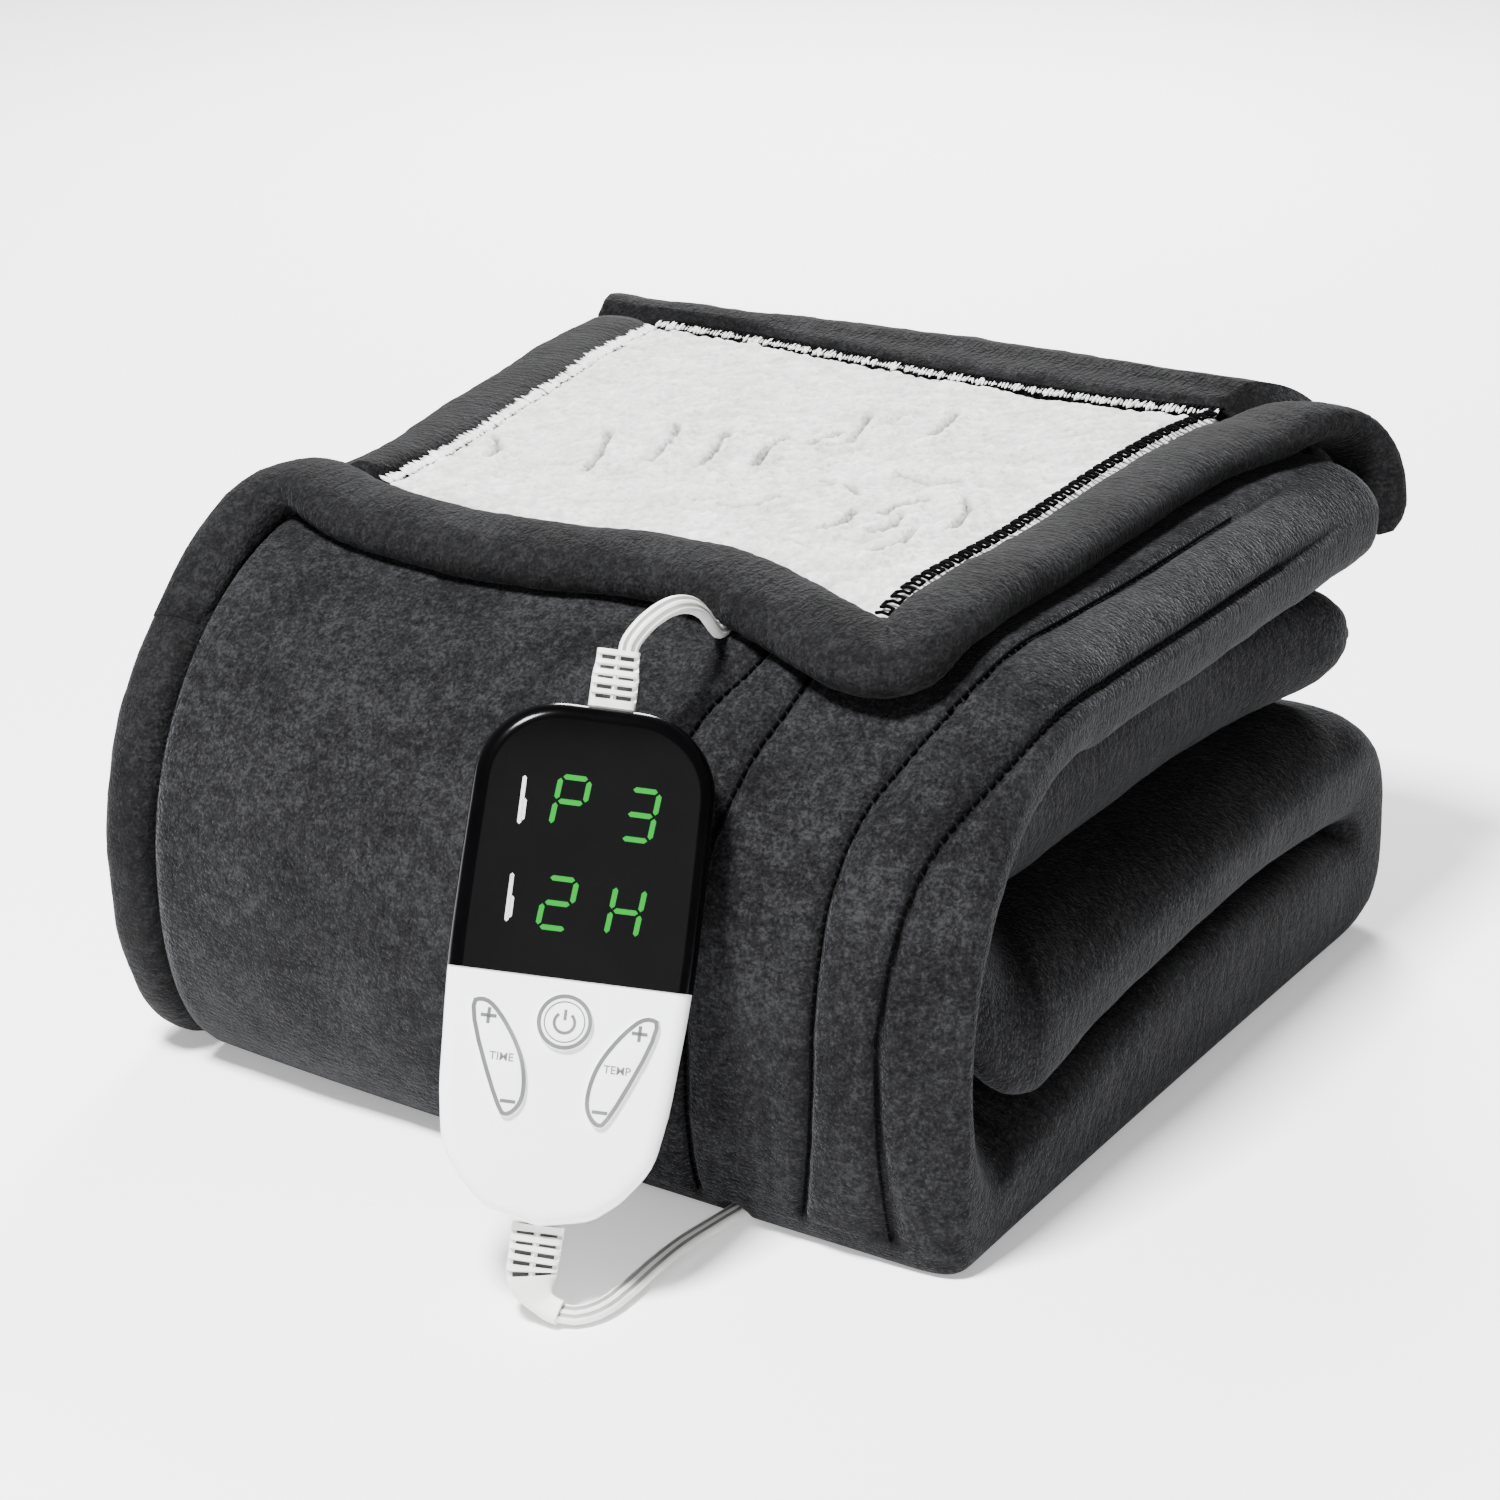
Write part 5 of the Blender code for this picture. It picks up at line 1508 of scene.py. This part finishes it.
plug = rounded_box("plug_body", (120.8, PLUG_Y, PLUG_Z), (36.0, 19.0, 18.6), 3.6, [LEAD_WHITE], taper=0.8)
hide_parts("mains_plug")
SLEEVE_ROUND, SLEEVE_ROWS = 32, 40
sleeve_path = [Vector((151.0 - 12.2 * i / SLEEVE_ROWS, PLUG_Y, PLUG_Z)) for i in range(SLEEVE_ROWS + 1)]


def sleeve_shape(j):
    half = mix(LEAD / 2 + 1.2, 5.6, j / SLEEVE_ROWS) * (1.0 if j % 8 < 5 else 0.88)
    ring = [squarish(2 * math.pi * i / SLEEVE_ROUND, 0.7) for i in range(SLEEVE_ROUND)]
    return [(half * c, half * s) for c, s in ring]


sleeve_rings, _ = rings_along(sleeve_path, UPRIGHT, sleeve_shape)
sleeve = bend_grid("plug_sleeve", SLEEVE_ROUND, SLEEVE_ROWS, lambda i, j: sleeve_rings[j][i], [LEAD_WHITE],
                   (0.03, 0.012), sharp=40)
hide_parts("plug_relief")
for node, side in (("plug_pin_front", -1), ("plug_pin_back", 1)):
    pin = rounded_box(node.replace("plug_pin", "pin"), (93.8, PLUG_Y + side * 6.35, PLUG_Z), (17.4, 1.5, 6.3),
                      0.45, [PIN_METAL], 3)
    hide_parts(node)
place((204.5, -71.5, 4.2))
[place(p) for p in mains]
place(case_point(4.4, 86.5, 0))
path_length(upper) * MM
[place(p) for p in upper]

# %% [markdown]
# ## Stitching
# Thread is real geometry, so that each stitch stands out of its groove. The channels have a
# running stitch, one short bar for each; the sherpa's right and back edges have a dense zigzag.


# %% Running stitches in the channels
STITCH_PITCH, STITCH_LONG, STITCH_HALF, STITCH_RISE = 3.3, 2.4, 0.5, 1.35
ROWS_START, ROWS_END = 0.6, 2.96  # as places along the strip, one unit for each run or fold


def section_at(across):
    """Section point at a distance across the outside of the strip."""
    column = bisect.bisect_left(ACROSS, across, 1, RIM_END - 1)
    share = limit((across - ACROSS[column - 1]) / max(ACROSS[column] - ACROSS[column - 1], 1e-6))
    before, here = SECTION[column - 1], SECTION[column]
    return mix(before[0], here[0], share), mix(before[1], here[1], share)


def outside_point(along, across, rise=0.0):
    """A point on the cloth's outer face, raised along its normal."""
    number = min(int(along), len(STRETCHES) - 1)
    x, depth = section_at(across)
    stretch, t = STRETCHES[number], along - number
    here = Vector(strip_point(stretch, t, x, depth))
    if not rise:
        return here
    inside = Vector(strip_point(stretch, t, x - 6 * (across > SHOULDER_X), depth + 0.15))
    return here + (here - inside).normalized() * rise


def stitch_row(row):
    """(middle, direction) of each stitch of a channel row."""
    shares = np.linspace(ROWS_START, ROWS_END, 600)
    line = [outside_point(s, row(s)) for s in shares]
    lengths = np.concatenate([[0], np.cumsum([(b - a).length for a, b in zip(line, line[1:])])])
    found = []
    for at in np.arange(STITCH_PITCH, lengths[-1] - STITCH_PITCH, STITCH_PITCH):
        s = float(np.interp(at, lengths, shares))
        near = float(np.interp(at + 1.0, lengths, shares))
        point = outside_point(s, row(s))
        rise = cloth_wave(point) + channel_relief(s, row(s)) + STITCH_RISE
        found.append((outside_point(s, row(s), rise), (outside_point(near, row(near)) - point).normalized()))
    return found


work = bmesh.new()
stitches = [stitch for row in CHANNELS for stitch in stitch_row(row)]
for middle, direction in stitches:
    turn = direction.to_track_quat("Z", "Y").to_matrix().to_4x4()
    bmesh.ops.create_cone(work, cap_ends=True, segments=6, radius1=STITCH_HALF * MM, radius2=STITCH_HALF * MM,
                          depth=STITCH_LONG * MM, matrix=Matrix.Translation(place(middle)) @ turn)
channel_thread = finish_mesh(work, "channel_stitches", [THREAD])
print("channel stitches:", len(stitches))


# %% Overlocked zigzag round the sherpa
def zigzag(name, spots):
    """A thread through inner and outer spots by turns."""
    path = []
    for number, (inner, outer) in enumerate(spots):
        ends = (inner, outer) if number % 2 == 0 else (outer, inner)
        path += [ends[0], (ends[0] + ends[1]) / 2 + Vector((0, 0, 0.5)), ends[1]]
    ring = disc(0.6, 0.0, 5)
    rings, _ = rings_along(path, UPRIGHT, lambda j: ring)
    made = bend_grid(name, len(ring), len(path) - 1, lambda i, j: rings[j][i], [THREAD], (0.003, 0.4))
    return made


def right_spots():
    """(inner, outer) points of the zigzag along the panel's right edge."""
    spots = []
    for v in np.linspace(0.01, 0.985, 76):
        x, y = flap_corner(1.0, float(v))
        z = top_height(x, y)
        wobble = 0.4 * rough((x, y, 0), 4, 2.0)
        spots.append((Vector((x - 5.0 + wobble, y, z + 11.0)), Vector((x - 1.2, y + 0.6, z + 10.9))))
    return spots


def back_spots():
    """(inner, outer) points of the zigzag along the panel's back edge."""
    spots = []
    for u in np.linspace(0.03, 0.99, 150):
        x, y = flap_corner(float(u), 1.0)
        z = top_height(x, y)
        wobble = 0.8 * rough((x, y, 0), 3, 5.0)
        spots.append((Vector((x, y - 0.6 + wobble, z + 10.8)), Vector((x + 0.5, y + 2.8, z + 11.4))))
    return spots


overlock = [zigzag("overlock_right", right_spots()), zigzag("overlock_back", back_spots())]

# %% Loose tufts of pile over the seams
BACK_TUFTS, LEFT_TUFTS = 170, 240


def tuft_spots():
    """(point, leaning direction) of tufts along the panel's back and left edges."""
    spots = []
    for number in range(BACK_TUFTS):
        spread = rough((number * 3.1, 0, 0), 2.0, 3.0)
        x, y = flap_corner(limit(number / BACK_TUFTS, 0.01, 0.99), 1.0)
        point = Vector((x, y - 1.0 + 1.3 * spread, top_height(x, y) + 10.9))
        spots.append((point, Vector((0.8 * spread, 1.0, 0.22))))
    for number in range(LEFT_TUFTS):
        spread = rough((0, number * 2.7, 0), 2.0, 7.0)
        x, y = flap_corner(0.0, limit(number / LEFT_TUFTS, 0.01, 0.99))
        point = Vector((x + 1.5 * spread, y, top_height(x, y) + PANEL_RISE))
        spots.append((point, Vector((-1.0, 0.6 * spread, 0.3))))
    return spots


work = bmesh.new()
for number, (middle, lean) in enumerate(tuft_spots()):
    grow = 0.8 + 0.75 * rough((number * 1.9, 4, 0), 1.5, 1.0)
    turn = lean.normalized().to_track_quat("Z", "Y").to_matrix().to_4x4()
    size = Matrix.Diagonal((0.65 * grow, 0.65 * grow, 3.0 * grow, 1.0))
    spot = Matrix.Translation(place(middle)) @ turn @ size
    bmesh.ops.create_icosphere(work, subdivisions=1, radius=MM, matrix=spot)
tufts = finish_mesh(work, "sherpa_tufts", [SHERPA])
